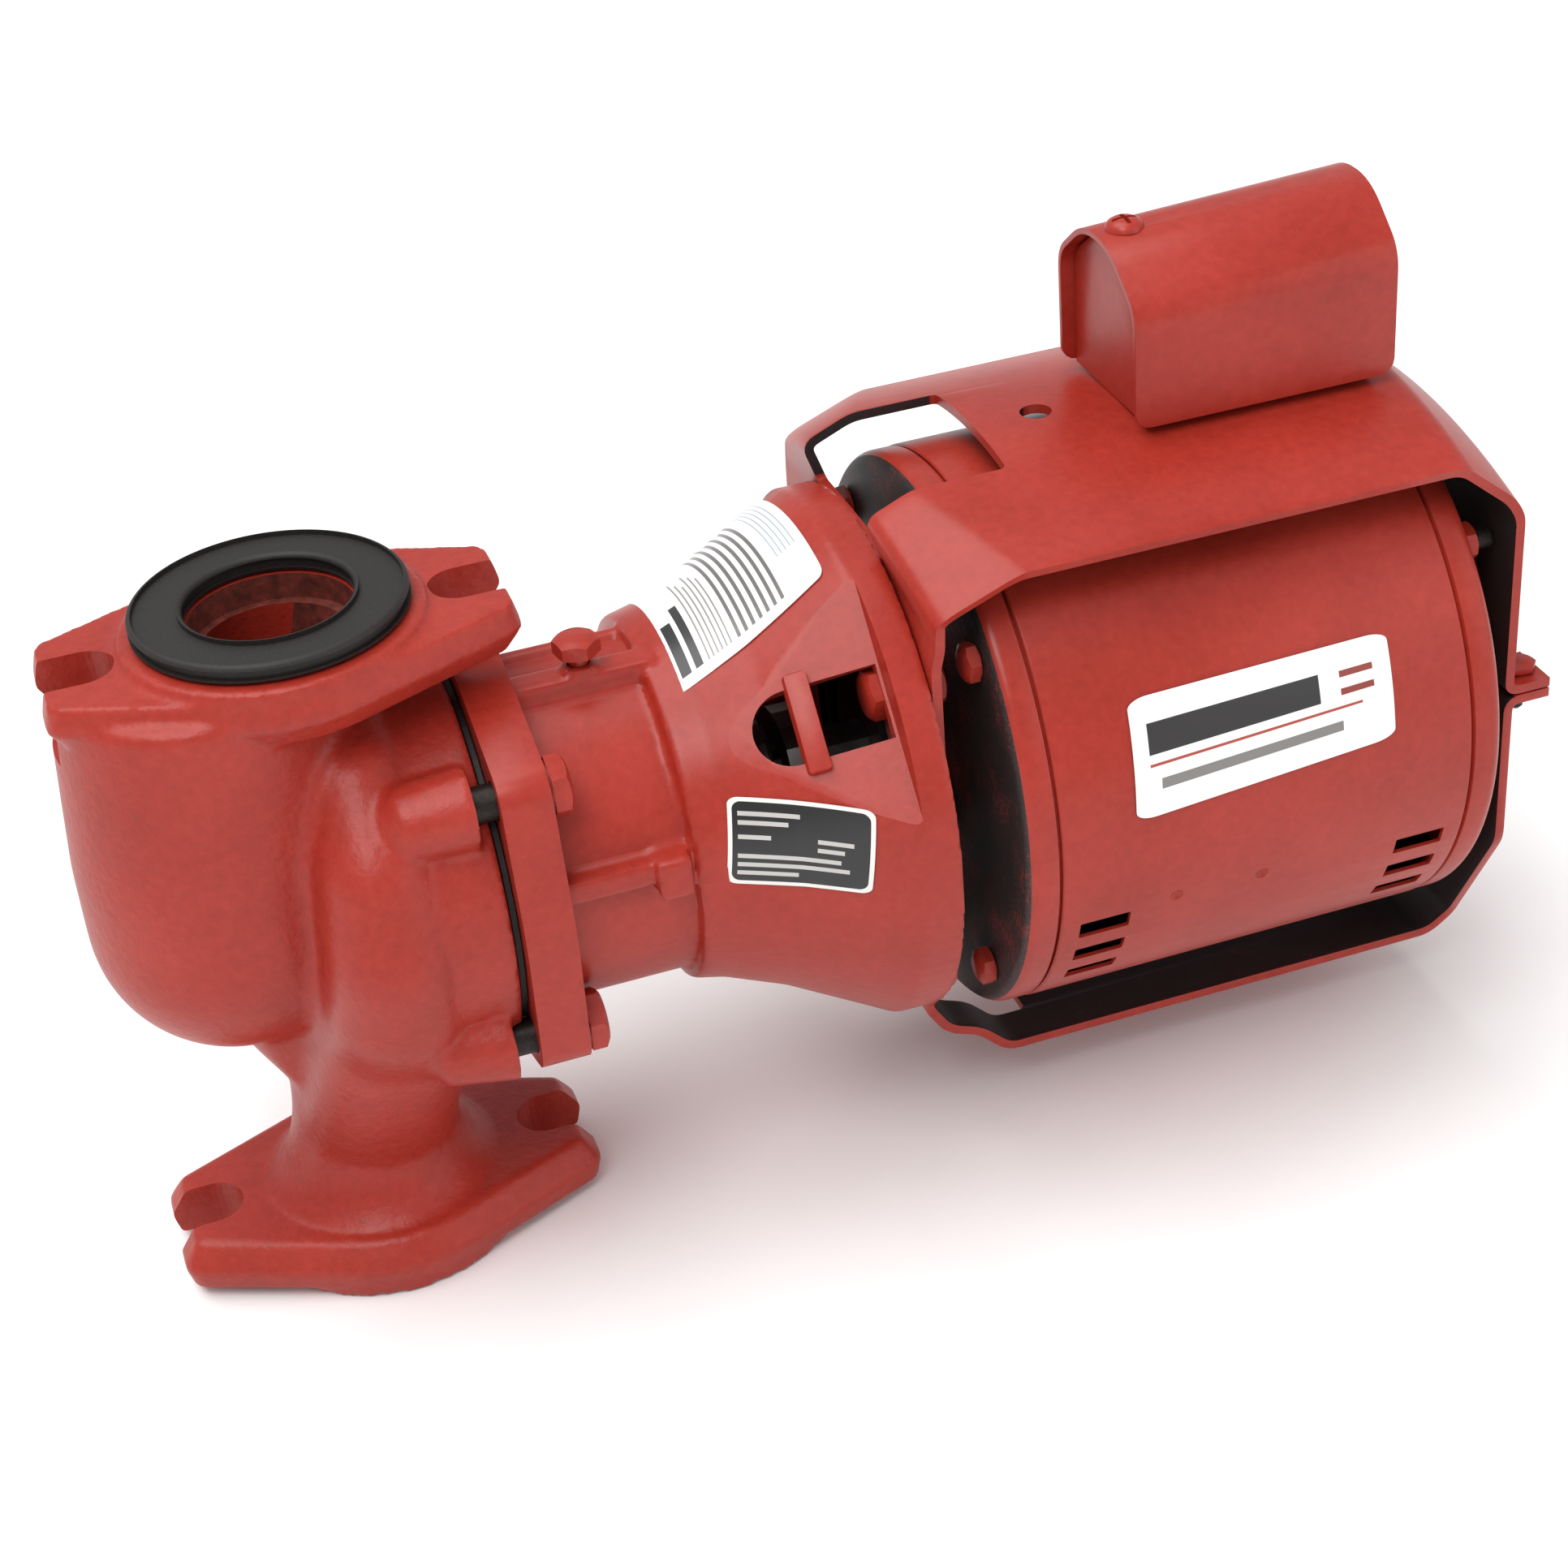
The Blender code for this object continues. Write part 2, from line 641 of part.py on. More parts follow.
def bearing_bracket():
    seat = SLEEVE_RADIUS + GAP
    cone_mid = HOUSING_END + 0.4 * CONE_LENGTH
    cone_end = RIM_REAR - 8.4 * MM
    bracket = turned(
        "bearing_bracket",
        [
            (RIM_REAR, RIM_RADIUS),
            (cone_end, RIM_RADIUS),
            (cone_end - 2 * MM, RIM_RADIUS - 0.9 * MM),
            (cone_mid, RIM_RADIUS - 13 * MM),
            (HOUSING_END + 5.6 * MM, HOUSING_RADIUS + 3.5 * MM),
            (HOUSING_END, HOUSING_RADIUS + 1.3 * MM),
            (HOUSING_END, HOUSING_RADIUS),
            (PLATE_REAR, HOUSING_RADIUS),
            (PLATE_REAR, PLATE_RADIUS),
            (PLATE_FRONT, PLATE_RADIUS),
            (PLATE_FRONT, CHAMBER_RADIUS - GAP),
            (SPIGOT_FRONT, CHAMBER_RADIUS - GAP),
            (SPIGOT_FRONT, SEAL_BORE),
            (SEAT_END + GAP, SEAL_BORE),
            (SEAT_END + GAP, seat),
            (WELL_START, seat),
            (WELL_START, OIL_WELL_RADIUS),
            (WELL_END, OIL_WELL_RADIUS),
            (WELL_END, seat),
            (CONE_FLOOR, seat),
            (CONE_FLOOR, HOUSING_RADIUS - 5.3 * MM),
            (cone_mid, RIM_RADIUS - 20 * MM),
            (cone_end - 2 * MM, RIM_RADIUS - 9 * MM),
            (RIM_FRONT, RIM_RADIUS - 9 * MM),
            (RIM_FRONT, BRACKET_BOLT_CIRCLE - 7 * MM),
            (RIM_REAR, BRACKET_BOLT_CIRCLE - 7 * MM),
        ],
    )
    for angle in CASING_BOLT_ANGLES:
        front = around(BOLT_CIRCLE, angle, PLATE_FRONT + 0.4 * MM)
        rear = around(BOLT_CIRCLE, angle, PLATE_REAR - 0.4 * MM)
        add(bracket, rod(f"boss_{angle}", front, rear, BOSS_RADIUS))
    rail_top = SHAFT_HEIGHT + RAIL_HEIGHT
    into = 3 * MM
    oil_at = OIL_CAP_AT
    add(
        bracket,
        block(
            "rail",
            (PLATE_REAR - into, -RAIL_AWAY - RAIL_HALF, SHAFT_HEIGHT + HOUSING_RADIUS - 9 * MM),
            (HOUSING_END + into, -RAIL_AWAY + RAIL_HALF, rail_top),
        ),
        block(
            "side_rib",
            (PLATE_REAR - into, -HOUSING_RADIUS - 3.2 * MM, SHAFT_HEIGHT + 6 * MM),
            (HOUSING_END - 4 * MM, -HOUSING_RADIUS + 6 * MM, SHAFT_HEIGHT + 11.3 * MM),
        ),
        block(
            "rib_boss",
            (HOUSING_END - 9.4 * MM, -HOUSING_RADIUS - 6.7 * MM, SHAFT_HEIGHT + 1.2 * MM),
            (HOUSING_END - 1.8 * MM, -HOUSING_RADIUS + 6 * MM, SHAFT_HEIGHT + 12.7 * MM),
            0.8 * MM,
        ),
        rod(
            "oil_boss",
            (oil_at, -OIL_CAP_AWAY, rail_top - 9 * MM),
            (oil_at, -OIL_CAP_AWAY, rail_top + OIL_BOSS),
            3.9 * MM,
        ),
    )
    for label, angle in (("near", WINDOW_ANGLE), ("far", -WINDOW_ANGLE)):
        facet, slot, bar = window_tools(label, angle)
        cut(bracket, facet, slot)
        add(bracket, bar)
    beyond = 2 * MM
    for angle in CASING_BOLT_ANGLES:
        start = around(BOLT_CIRCLE, angle, PLATE_FRONT - beyond)
        end = around(BOLT_CIRCLE, angle, PLATE_REAR + beyond)
        cut(bracket, rod(f"plate_hole_{angle}", start, end, CASING_BOLT_RADIUS + BOLT_FIT, 12))
    for angle in BOLT_ANGLES:
        start = around(BRACKET_BOLT_CIRCLE, angle, RIM_FRONT - beyond)
        end = around(BRACKET_BOLT_CIRCLE, angle, RIM_REAR + beyond)
        cut(bracket, rod(f"rim_hole_{angle}", start, end, RIM_BOLT_RADIUS + BOLT_FIT, 12))
        start = around(BRACKET_BOLT_CIRCLE, angle, RIM_FRONT - RIM_BOLT_HEAD - 1.5 * MM)
        end = around(BRACKET_BOLT_CIRCLE, angle, RIM_FRONT)
        cut(bracket, rod(f"head_pocket_{angle}", start, end, RIM_BOLT_FLATS + 1.4 * MM, 12))
    cut(
        bracket,
        rod(
            "oil_hole",
            (oil_at, -OIL_CAP_AWAY, SHAFT_HEIGHT + OIL_WELL_RADIUS - 6 * MM),
            (oil_at, -OIL_CAP_AWAY, rail_top + 2 * beyond),
            OIL_PLUG_RADIUS + BOLT_FIT,
            12,
        ),
    )
    return bracket


def bracket_fittings():
    bore = SHAFT_RADIUS + RUN_FIT
    ring("front_shaft_bearing", FRONT_SLEEVE, FRONT_SLEEVE + SLEEVE_LENGTH, bore, SLEEVE_RADIUS, SMALL_SIDES)
    ring("rear_shaft_bearing", REAR_SLEEVE, REAR_SLEEVE + SLEEVE_LENGTH, bore, SLEEVE_RADIUS, SMALL_SIDES)
    wick_inner = bore + RUN_FIT
    ring("oil_wick", WELL_START + GAP, WELL_END - GAP, wick_inner, OIL_WELL_RADIUS / 2, SMALL_SIDES)
    oil_at = OIL_CAP_AT
    cap_seat = SHAFT_HEIGHT + RAIL_HEIGHT + OIL_BOSS + GAP
    hex_bolt(
        "oil_cap",
        (oil_at, -OIL_CAP_AWAY, cap_seat),
        (0, 0, 1),
        4.6 * MM,
        4.2 * MM,
        OIL_PLUG_RADIUS,
        9 * MM,
    )
    for i, angle in enumerate(CASING_BOLT_ANGLES):
        seat = around(BOLT_CIRCLE, angle, PLATE_REAR + GAP)
        length = seat.x - CHAMBER_FLOOR
        hex_bolt(
            f"casing_bolt_{i + 1}",
            seat,
            (1, 0, 0),
            CASING_BOLT_FLATS,
            CASING_BOLT_HEAD,
            CASING_BOLT_RADIUS,
            length,
        )
    for i, angle in enumerate(BOLT_ANGLES):
        seat = around(BRACKET_BOLT_CIRCLE, angle, RIM_FRONT - GAP)
        reach = MOTOR_FRONT - 5.4 * MM - seat.x
        hex_bolt(
            f"bracket_bolt_{i + 1}",
            seat,
            (-1, 0, 0),
            RIM_BOLT_FLATS,
            RIM_BOLT_HEAD,
            RIM_BOLT_RADIUS,
            reach,
        )
        nut_at = around(BRACKET_BOLT_CIRCLE, angle, FRONT_PLATE + SHEET / 2 + GAP)
        hex_nut(f"bracket_nut_{i + 1}", nut_at, (1, 0, 0), RIM_BOLT_FLATS, 4 * MM, RIM_BOLT_RADIUS + GAP)


def coupler():
    bore = SHAFT_RADIUS + GAP
    outer = 14 * MM
    pump_start = PUMP_SHAFT_END - HUB_THICKNESS
    motor_start = PUMP_SHAFT_END + COUPLER_GAP
    ring("coupler_pump_hub", pump_start, PUMP_SHAFT_END, bore, outer, SMALL_SIDES)
    ring("coupler_motor_hub", motor_start, motor_start + HUB_THICKNESS, bore, outer, SMALL_SIDES)
    wire = 1.5 * MM
    margin = wire + GAP
    helix("coupler_spring", PUMP_SHAFT_END + margin, motor_start - margin, 11 * MM, wire, 2.5)


# --- Motor ----------------------------------------------------------------------------------

def bell_outline(edge, seam, outward, open_bore):
    """A motor end bell: a shallow dish with a long hub for its sleeve bearing."""
    inward = -outward
    wall = 2.5 * MM
    hub_end = edge + outward * HUB_LENGTH
    bore = SHAFT_RADIUS + 0.7 * MM
    seat = SLEEVE_RADIUS + GAP
    hub_inner = hub_end + inward * 2.5 * MM
    sleeve_end = hub_inner + inward * (MOTOR_SLEEVE_LENGTH + 2 * GAP)
    rim = MOTOR_RADIUS - 0.2 * MM
    outline = [
        (seam, rim),
        (edge + inward * 2.2 * MM, rim),
        (edge, rim - 2.2 * MM),
        (edge, HUB_RADIUS + 2 * MM),
        (edge + outward * 2 * MM, HUB_RADIUS),
        (hub_end, HUB_RADIUS),
        (hub_end, bore if open_bore else 0),
        (hub_inner, bore if open_bore else 0),
        (hub_inner, seat),
        (sleeve_end, seat),
        (sleeve_end, seat + 3.5 * MM),
        (edge + inward * wall, seat + 6 * MM),
        (edge + inward * wall, rim - 3.8 * MM),
        (seam, rim - 3.8 * MM),
    ]
    return outline


def end_bells():
    front = bell_outline(MOTOR_FRONT, FRONT_SEAM - SEAM, -1, True)
    rear = bell_outline(MOTOR_REAR, REAR_SEAM + SEAM, 1, False)
    # The rear bell is closed at its hub, so its outline opens there and runs the other way round.
    closing = rear.index((MOTOR_REAR + HUB_LENGTH, 0))
    rear = (rear[closing + 1 :] + rear[: closing + 1])[::-1]
    bells = [
        turned("front_end_bell", front),
        turned("rear_end_bell", rear, closed=False),
    ]
    for bell, edge in zip(bells, (MOTOR_FRONT, MOTOR_REAR)):
        for angle in BOLT_ANGLES:
            start = around(THROUGH_BOLT_CIRCLE, angle, edge - 12 * MM)
            end = around(THROUGH_BOLT_CIRCLE, angle, edge + 12 * MM)
            hole = rod(f"{bell.name}_hole_{angle}", start, end, THROUGH_BOLT_RADIUS + BOLT_FIT, 12)
            cut(bell, hole)
    return bells


def motor_shell():
    start, end = FRONT_SEAM, REAR_SEAM
    shell = ring("motor_shell", start, end, MOTOR_RADIUS - SHELL_WALL, MOTOR_RADIUS, SHELL_SIDES)
    slot, inset = 12 * MM, 4.6 * MM
    for group, first in (("front", start + inset), ("rear", end - inset - slot)):
        for row, angle in enumerate((108.1, 116.6, 125.4)):
            for side in (-1, 1):
                turn = Matrix.Translation((0, 0, SHAFT_HEIGHT))
                turn = turn @ Matrix.Rotation(math.radians(side * angle), 4, "X")
                corners = []
                for x in (first, first + slot):
                    for y in (-2.3 * MM, 2.3 * MM):
                        for z in (MOTOR_RADIUS - 4 * MM, MOTOR_RADIUS + 3 * MM):
                            corners.append(turn @ Vector((x, y, z)))
                cut(shell, hull(f"vent_{group}_{row}_{side}", corners))
    return shell


def motor_inside():
    core_start = MOTOR_MIDDLE - CORE_LENGTH / 2
    core_end = MOTOR_MIDDLE + CORE_LENGTH / 2
    bore = ROTOR_RADIUS + AIR_GAP
    core = ring("stator_core", core_start, core_end, bore, MOTOR_RADIUS - SHELL_WALL - 2 * GAP, SHELL_SIDES)
    for angle in BOLT_ANGLES:
        points = []
        for radius in (THROUGH_BOLT_CIRCLE, MOTOR_RADIUS + 4 * MM):
            for along in (core_start - 2 * MM, core_end + 2 * MM):
                points += circle(around(radius, angle, along), 3.4 * MM, 12, "X")
        cut(core, hull(f"bolt_groove_{angle}", points))
    inner, outer = bore + 3 * MM, THROUGH_BOLT_CIRCLE - 5 * MM
    for name, face, outward in (("front_winding", core_start, -1), ("rear_winding", core_end, 1)):
        near = face + outward * GAP
        far = face + outward * 12 * MM
        low, high = min(near, far), max(near, far)
        edge = 3 * MM
        turned(
            name,
            [
                (high, outer - edge),
                (high - edge, outer),
                (low + edge, outer),
                (low, outer - edge),
                (low, inner + edge),
                (low + edge, inner),
                (high - edge, inner),
                (high, inner + edge),
            ],
            sides=SMALL_SIDES,
        )
    ring("rotor_core", core_start - 2 * MM, core_end + 2 * MM, SHAFT_RADIUS + GAP, ROTOR_RADIUS)
    shaft_end = MOTOR_REAR + HUB_LENGTH - 4 * MM
    rod("motor_shaft", (MOTOR_SHAFT_START, 0, 0), (shaft_end, 0, 0), SHAFT_RADIUS).location.z = SHAFT_HEIGHT
    sleeve = SHAFT_RADIUS + RUN_FIT
    inset = HUB_LENGTH - 2.5 * MM - GAP
    front = MOTOR_FRONT - inset
    rear = MOTOR_REAR + inset
    ring("front_motor_bearing", front, front + MOTOR_SLEEVE_LENGTH, sleeve, SLEEVE_RADIUS, SMALL_SIDES)
    ring("rear_motor_bearing", rear - MOTOR_SLEEVE_LENGTH, rear, sleeve, SLEEVE_RADIUS, SMALL_SIDES)
    half_flats = 4 * MM
    length = MOTOR_LENGTH + 9 * MM
    for i, angle in enumerate(BOLT_ANGLES):
        seat = around(THROUGH_BOLT_CIRCLE, angle, MOTOR_FRONT - GAP)
        hex_bolt(f"through_bolt_{i + 1}", seat, (-1, 0, 0), half_flats, 3.6 * MM, THROUGH_BOLT_RADIUS, length)
        nut_at = around(THROUGH_BOLT_CIRCLE, angle, MOTOR_REAR + GAP)
        nut_bore = THROUGH_BOLT_RADIUS + GAP
        hex_nut(f"through_bolt_nut_{i + 1}", nut_at, (1, 0, 0), half_flats, 4 * MM, nut_bore)


# --- Cradle ---------------------------------------------------------------------------------


def crowned(height, share, y):
    """How high the band is at a distance from its middle."""
    return height - share * y * y / (2 * CRADLE_CROWN)


def sheet(name, profile):
    """Folded sheet. Each profile row holds x, its shift at the edge, z, its crown and half-width."""
    columns = 9
    bm = bmesh.new()
    grid = []
    for x, shift, z, crown, half in profile:
        row = []
        for i in range(columns):
            across = 2 * i / (columns - 1) - 1
            y = across * half
            row.append(bm.verts.new((x + shift * across * across, y, crowned(z, crown, y))))
        grid.append(row)
    for lower, upper in zip(grid, grid[1:]):
        for i in range(columns - 1):
            bm.faces.new((lower[i], lower[i + 1], upper[i + 1], upper[i]))
    made = from_bmesh(name, bm)
    wall = made.modifiers.new("wall", "SOLIDIFY")
    wall.thickness = SHEET
    wall.offset = 0
    wall.use_even_offset = True
    return made


def cradle():
    split = SHAFT_HEIGHT
    lug_top = SHAFT_HEIGHT + 3.6 * MM
    lug_step = SHEET + 0.5 * MM
    lug_end = REAR_PLATE + LUG_LENGTH
    fold = 1.5 * MM
    half = CRADLE_HALF
    top = sheet(
        "cradle_top",
        [
            (FRONT_PLATE, 0, split + GAP, 0, half - 2 * MM),
            (FRONT_PLATE, 0, CRADLE_TOP - 30 * MM, 0, half - 2 * MM),
            (FRONT_PLATE + 0.6 * MM, 0, CRADLE_TOP - 16.4 * MM, 0.8, half),
            (FRONT_PLATE - 4 * MM, 5 * MM, CRADLE_TOP - 5 * MM, 1.3, half),
            (FRONT_PLATE + 5 * MM, 14 * MM, CRADLE_TOP - SHEET / 2, 1, half),
            (MOTOR_FRONT + 40 * MM, 0, CRADLE_TOP - SHEET / 2, 1, half),
            (REAR_PLATE - 15 * MM, 0, CRADLE_TOP - SHEET / 2, 1, half),
            (REAR_PLATE - 2.5 * MM, 0, CRADLE_TOP - 12.5 * MM, 0.9, half),
            (REAR_PLATE, 0, CRADLE_TOP - 18 * MM, 0.8, half),
            (REAR_PLATE, 0, lug_top + fold, 0, half),
            (REAR_PLATE + fold, 0, lug_top, 0, half),
            (lug_end, 0, lug_top, 0, half),
        ],
    )
    taper = SHAFT_HEIGHT - 37 * MM
    base = sheet(
        "cradle_base",
        [
            (FRONT_PLATE, 0, split - GAP, 0, half - 2 * MM),
            (FRONT_PLATE, 0, taper, 0, half - 2 * MM),
            (FRONT_PLATE, 0, STRAP_HEIGHT + 18 * MM, 0, STRAP_HALF),
            (FRONT_PLATE + 5 * MM, 0, STRAP_HEIGHT + 10 * MM, 0, STRAP_HALF),
            (MOTOR_FRONT + 1 * MM, 0, STRAP_HEIGHT + 7 * MM, 0, STRAP_HALF),
            (MOTOR_FRONT + 8 * MM, 0, STRAP_HEIGHT, 0, STRAP_HALF),
            (REAR_PLATE - 5 * MM, 0, STRAP_HEIGHT, 0, STRAP_HALF),
            (REAR_PLATE, 0, STRAP_HEIGHT + 6 * MM, 0, STRAP_HALF + 2 * MM),
            (REAR_PLATE, 0, taper, 0, half),
            (REAR_PLATE, 0, lug_top - lug_step - fold, 0, half),
            (REAR_PLATE + fold, 0, lug_top - lug_step, 0, half),
            (lug_end, 0, lug_top - lug_step, 0, half),
        ],
    )
    wide = 30 * MM
    cut(
        base,
        block(
            "base_window",
            (FRONT_PLATE + SHEET, -BASE_WINDOW_HALF, STRAP_HEIGHT - 10 * MM),
            (FRONT_PLATE + 28.5 * MM, BASE_WINDOW_HALF, STRAP_HEIGHT + 20 * MM),
        ),
    )
    cut(
        top,
        block(
            "top_window",
            (FRONT_PLATE - 40 * MM, -TOP_WINDOW_NEAR, CRADLE_TOP - 17 * MM),
            (FRONT_PLATE + 28.5 * MM, TOP_WINDOW_FAR, CRADLE_TOP + 20 * MM),
        ),
        rod(
            "cable_hole",
            (MOTOR_FRONT + 31.6 * MM, 0, CRADLE_TOP - 20 * MM),
            (MOTOR_FRONT + 31.6 * MM, 0, CRADLE_TOP + 20 * MM),
            3.6 * MM,
        ),
    )
    for piece in (top, base):
        for label, plate in (("front", FRONT_PLATE), ("rear", REAR_PLATE)):
            start = (plate - 5 * MM, 0, SHAFT_HEIGHT)
            end = (plate + 5 * MM, 0, SHAFT_HEIGHT)
            cut(piece, rod(f"{piece.name}_{label}_hole", start, end, RING_RADIUS + GAP, LARGE_SIDES))
        low = (REAR_PLATE + SHEET, -LUG_INNER, SHAFT_HEIGHT - wide)
        high = (lug_end + wide, LUG_INNER, SHAFT_HEIGHT + wide)
        cut(piece, block(f"{piece.name}_lug_gap", low, high))
        for angle in BOLT_ANGLES:
            start = around(BRACKET_BOLT_CIRCLE, angle, FRONT_PLATE - 5 * MM)
            end = around(BRACKET_BOLT_CIRCLE, angle, FRONT_PLATE + 5 * MM)
            if (start.z > split) == (piece is top):
                cut(piece, rod(f"{piece.name}_bolt_hole_{angle}", start, end, RIM_BOLT_RADIUS + BOLT_FIT, 12))
    radius = 1.7 * MM
    half_flats = 3.7 * MM
    screw_x = lug_end - 4.5 * MM
    for label, side in (("near", -1), ("far", 1)):
        y = side * (LUG_INNER + 6.5 * MM)
        for piece in (top, base):
            start, end = (screw_x, y, SHAFT_HEIGHT - 8 * MM), (screw_x, y, SHAFT_HEIGHT + 20 * MM)
            cut(piece, rod(f"{piece.name}_{label}_lug_hole", start, end, radius + BOLT_FIT, 12))
        seat = (screw_x, y, lug_top + SHEET / 2 + GAP)
        hex_bolt(f"clamp_screw_{label}", seat, (0, 0, 1), half_flats, 2.4 * MM, radius, 10.4 * MM)
        nut_at = (screw_x, y, lug_top - lug_step - SHEET / 2 - GAP)
        hex_nut(f"clamp_nut_{label}", nut_at, (0, 0, -1), half_flats, 2.4 * MM, radius + GAP)
    for name, plate in (("front_resilient_ring", FRONT_PLATE), ("rear_resilient_ring", REAR_PLATE)):
        thick = 3.4 * MM
        ring(name, plate - thick, plate + thick, HUB_RADIUS + GAP, RING_RADIUS - GAP)


# --- Junction box ---------------------------------------------------------------------------


def arch(half, low, shoulder, high, count=10):
    """Points up one side, over a flattened round top and down the other, as (y, z)."""
    points = [(-half, low)]
    for i in range(count + 1):
        turn = math.pi * (1 - i / count)
        bulge = math.sin(turn) ** 0.8
        points.append((half * math.cos(turn), shoulder + (high - shoulder) * bulge))
    points.append((half, low))
    return points


def junction_box():
    floor = CRADLE_TOP + GAP
    low = floor + 0.5 * MM
    high = CRADLE_TOP + BOX_HEIGHT
    shoulder = CRADLE_TOP + BOX_SHOULDER
    bm = bmesh.new()
    rows = []
    for x, rise in ((BOX_START, 0), (BOX_END, BOX_RISE)):
        skin = arch(
            BOX_HALF - BOX_SHEET / 2, low, shoulder + rise / 2, high + rise - BOX_SHEET / 2
        )
        rows.append([bm.verts.new((x, y, z)) for y, z in skin])
    for i in range(len(rows[0]) - 1):
        bm.faces.new((rows[0][i], rows[0][i + 1], rows[1][i + 1], rows[1][i]))
    cover = from_bmesh("junction_box_cover", bm)
    wall = cover.modifiers.new("wall", "SOLIDIFY")
    wall.thickness = BOX_SHEET
    wall.offset = 0
    screw_x = BOX_START + 7 * MM
    screw_radius = 1.7 * MM
    hole_low, hole_high = high - 14 * MM, high + 5 * MM
    cut(cover, rod("cover_hole", (screw_x, 0, hole_low), (screw_x, 0, hole_high), screw_radius + BOLT_FIT, 12))

    plate_half = BOX_HALF - BOX_SHEET - GAP
    plate_high = high - BOX_SHEET - GAP
    recess = 3.2 * MM
    base = block(
        "junction_box_base",
        (BOX_START + recess, -plate_half, floor),
        (BOX_END - recess, plate_half, floor + BOX_SHEET),
    )
    rear_at = BOX_END - recess - BOX_SHEET
    for label, x, rise in (("front", BOX_START + recess, 0), ("rear", rear_at, BOX_RISE * 0.9)):
        plate = arch(plate_half, floor, shoulder + rise / 2, plate_high + rise)
        points = [(at, y, z) for at in (x, x + BOX_SHEET) for y, z in plate]
        add(base, hull(f"box_end_{label}", points))
    tab_top = plate_high - 0.6 * MM
    tab = block(
        "cover_tab",
        (BOX_START + recess, -5.5 * MM, tab_top - 1.6 * MM),
        (screw_x + 5 * MM, 5.5 * MM, tab_top),
    )
    add(base, tab)
    cut(base, rod("tab_hole", (screw_x, 0, hole_low), (screw_x, 0, hole_high), screw_radius + BOLT_FIT, 12))
    head = 2.4 * MM
    turned(
        "cover_screw",
        [
            (head, 0),
            (head, 3 * MM),
            (head - 1 * MM, 4.3 * MM),
            (0, 4.3 * MM),
            (0, screw_radius),
            (-8 * MM, screw_radius),
            (-8 * MM, 0),
        ],
        axis="Z",
        at=(screw_x, 0, high + 2 * GAP),
        sides=16,
        closed=False,
    )
    can_height = floor + BOX_SHEET + GAP + CAPACITOR_RADIUS
    start = (BOX_START + 12 * MM, 0, can_height)
    end = (BOX_END - 10 * MM, 0, can_height)
    rod("capacitor", start, end, CAPACITOR_RADIUS)


# --- The whole pump -------------------------------------------------------------------------

volute_casing()
body_gasket()
flange_gasket()
impeller()
seal_and_shaft()
bearing_bracket()
bracket_fittings()
coupler()
motor_shell()
end_bells()
motor_inside()
cradle()
junction_box()

FINISH_OF = {
    "upper_flange_gasket": "dark_rubber",
    "body_gasket": "dark_rubber",
    "front_resilient_ring": "dark_rubber",
    "rear_resilient_ring": "dark_rubber",
    "impeller": "bronze",
    "impeller_nut": "steel",
    "seal_seat": "ceramic",
    "seal_head": "carbon",
    "seal_spring": "steel",
    "pump_shaft": "steel",
    "motor_shaft": "steel",
    "oil_wick": "felt",
    "front_shaft_bearing": "bronze",
    "rear_shaft_bearing": "bronze",
    "front_motor_bearing": "bronze",
    "rear_motor_bearing": "bronze",
    "coupler_pump_hub": "steel",
    "coupler_motor_hub": "steel",
    "coupler_spring": "steel",
    "stator_core": "core_steel",
    "rotor_core": "core_steel",
    "front_winding": "copper",
    "rear_winding": "copper",
    "capacitor": "capacitor_can",
}

for part in PARTS.objects:
    label = FINISH_OF.get(part.name, "red_paint")
    part.data.materials.append(finish(f"{part.name}_{label}", *FINISHES[label]))
    if part.type == "MESH":
        part.data.shade_smooth()
        part.data.set_sharp_from_angle(angle=math.radians(35))
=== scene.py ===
# %% [markdown]
# # A circulator pump in red enamel
# A circulator pushes hot water round a heating system. Two flanges bolt it into the pipe, and its motor
# hangs out sideways in a sheet steel cradle. Its plain solids are loaded first and never moved. The rest is
# a closer look at the same pieces: rounded castings, hex heads, folded sheet, stickers and paint.

# %% Load the fixed frame
import json
import math

import bmesh
import bpy
from mathutils import Matrix, Vector

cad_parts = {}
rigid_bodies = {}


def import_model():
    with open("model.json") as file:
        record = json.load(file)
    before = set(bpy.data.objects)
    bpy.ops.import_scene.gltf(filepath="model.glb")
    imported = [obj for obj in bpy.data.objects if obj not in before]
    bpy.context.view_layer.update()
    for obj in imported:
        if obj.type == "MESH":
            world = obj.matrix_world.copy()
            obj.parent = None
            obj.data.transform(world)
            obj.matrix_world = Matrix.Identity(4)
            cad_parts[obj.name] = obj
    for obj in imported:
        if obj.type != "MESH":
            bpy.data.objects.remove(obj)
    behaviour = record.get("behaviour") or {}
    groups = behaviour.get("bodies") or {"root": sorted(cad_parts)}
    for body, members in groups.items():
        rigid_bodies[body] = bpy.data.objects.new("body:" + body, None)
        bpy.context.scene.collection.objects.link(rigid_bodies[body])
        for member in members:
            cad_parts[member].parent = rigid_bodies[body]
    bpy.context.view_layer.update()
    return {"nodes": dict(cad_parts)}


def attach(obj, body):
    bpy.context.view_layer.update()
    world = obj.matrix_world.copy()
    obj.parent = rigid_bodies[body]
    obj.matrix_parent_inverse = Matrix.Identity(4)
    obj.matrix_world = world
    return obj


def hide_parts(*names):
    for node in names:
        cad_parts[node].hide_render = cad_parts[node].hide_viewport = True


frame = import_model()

# %% [markdown]
# Every mesh is shaped in millimetres, as on a drawing, and made a thousand times smaller at the end. The
# shaft's centreline is the line that most pieces turn about.

# %% Units and the main lines
MM = 0.001
SHAFT = 95.0
FACE_TO_FACE = 162.0
scene = bpy.context.scene


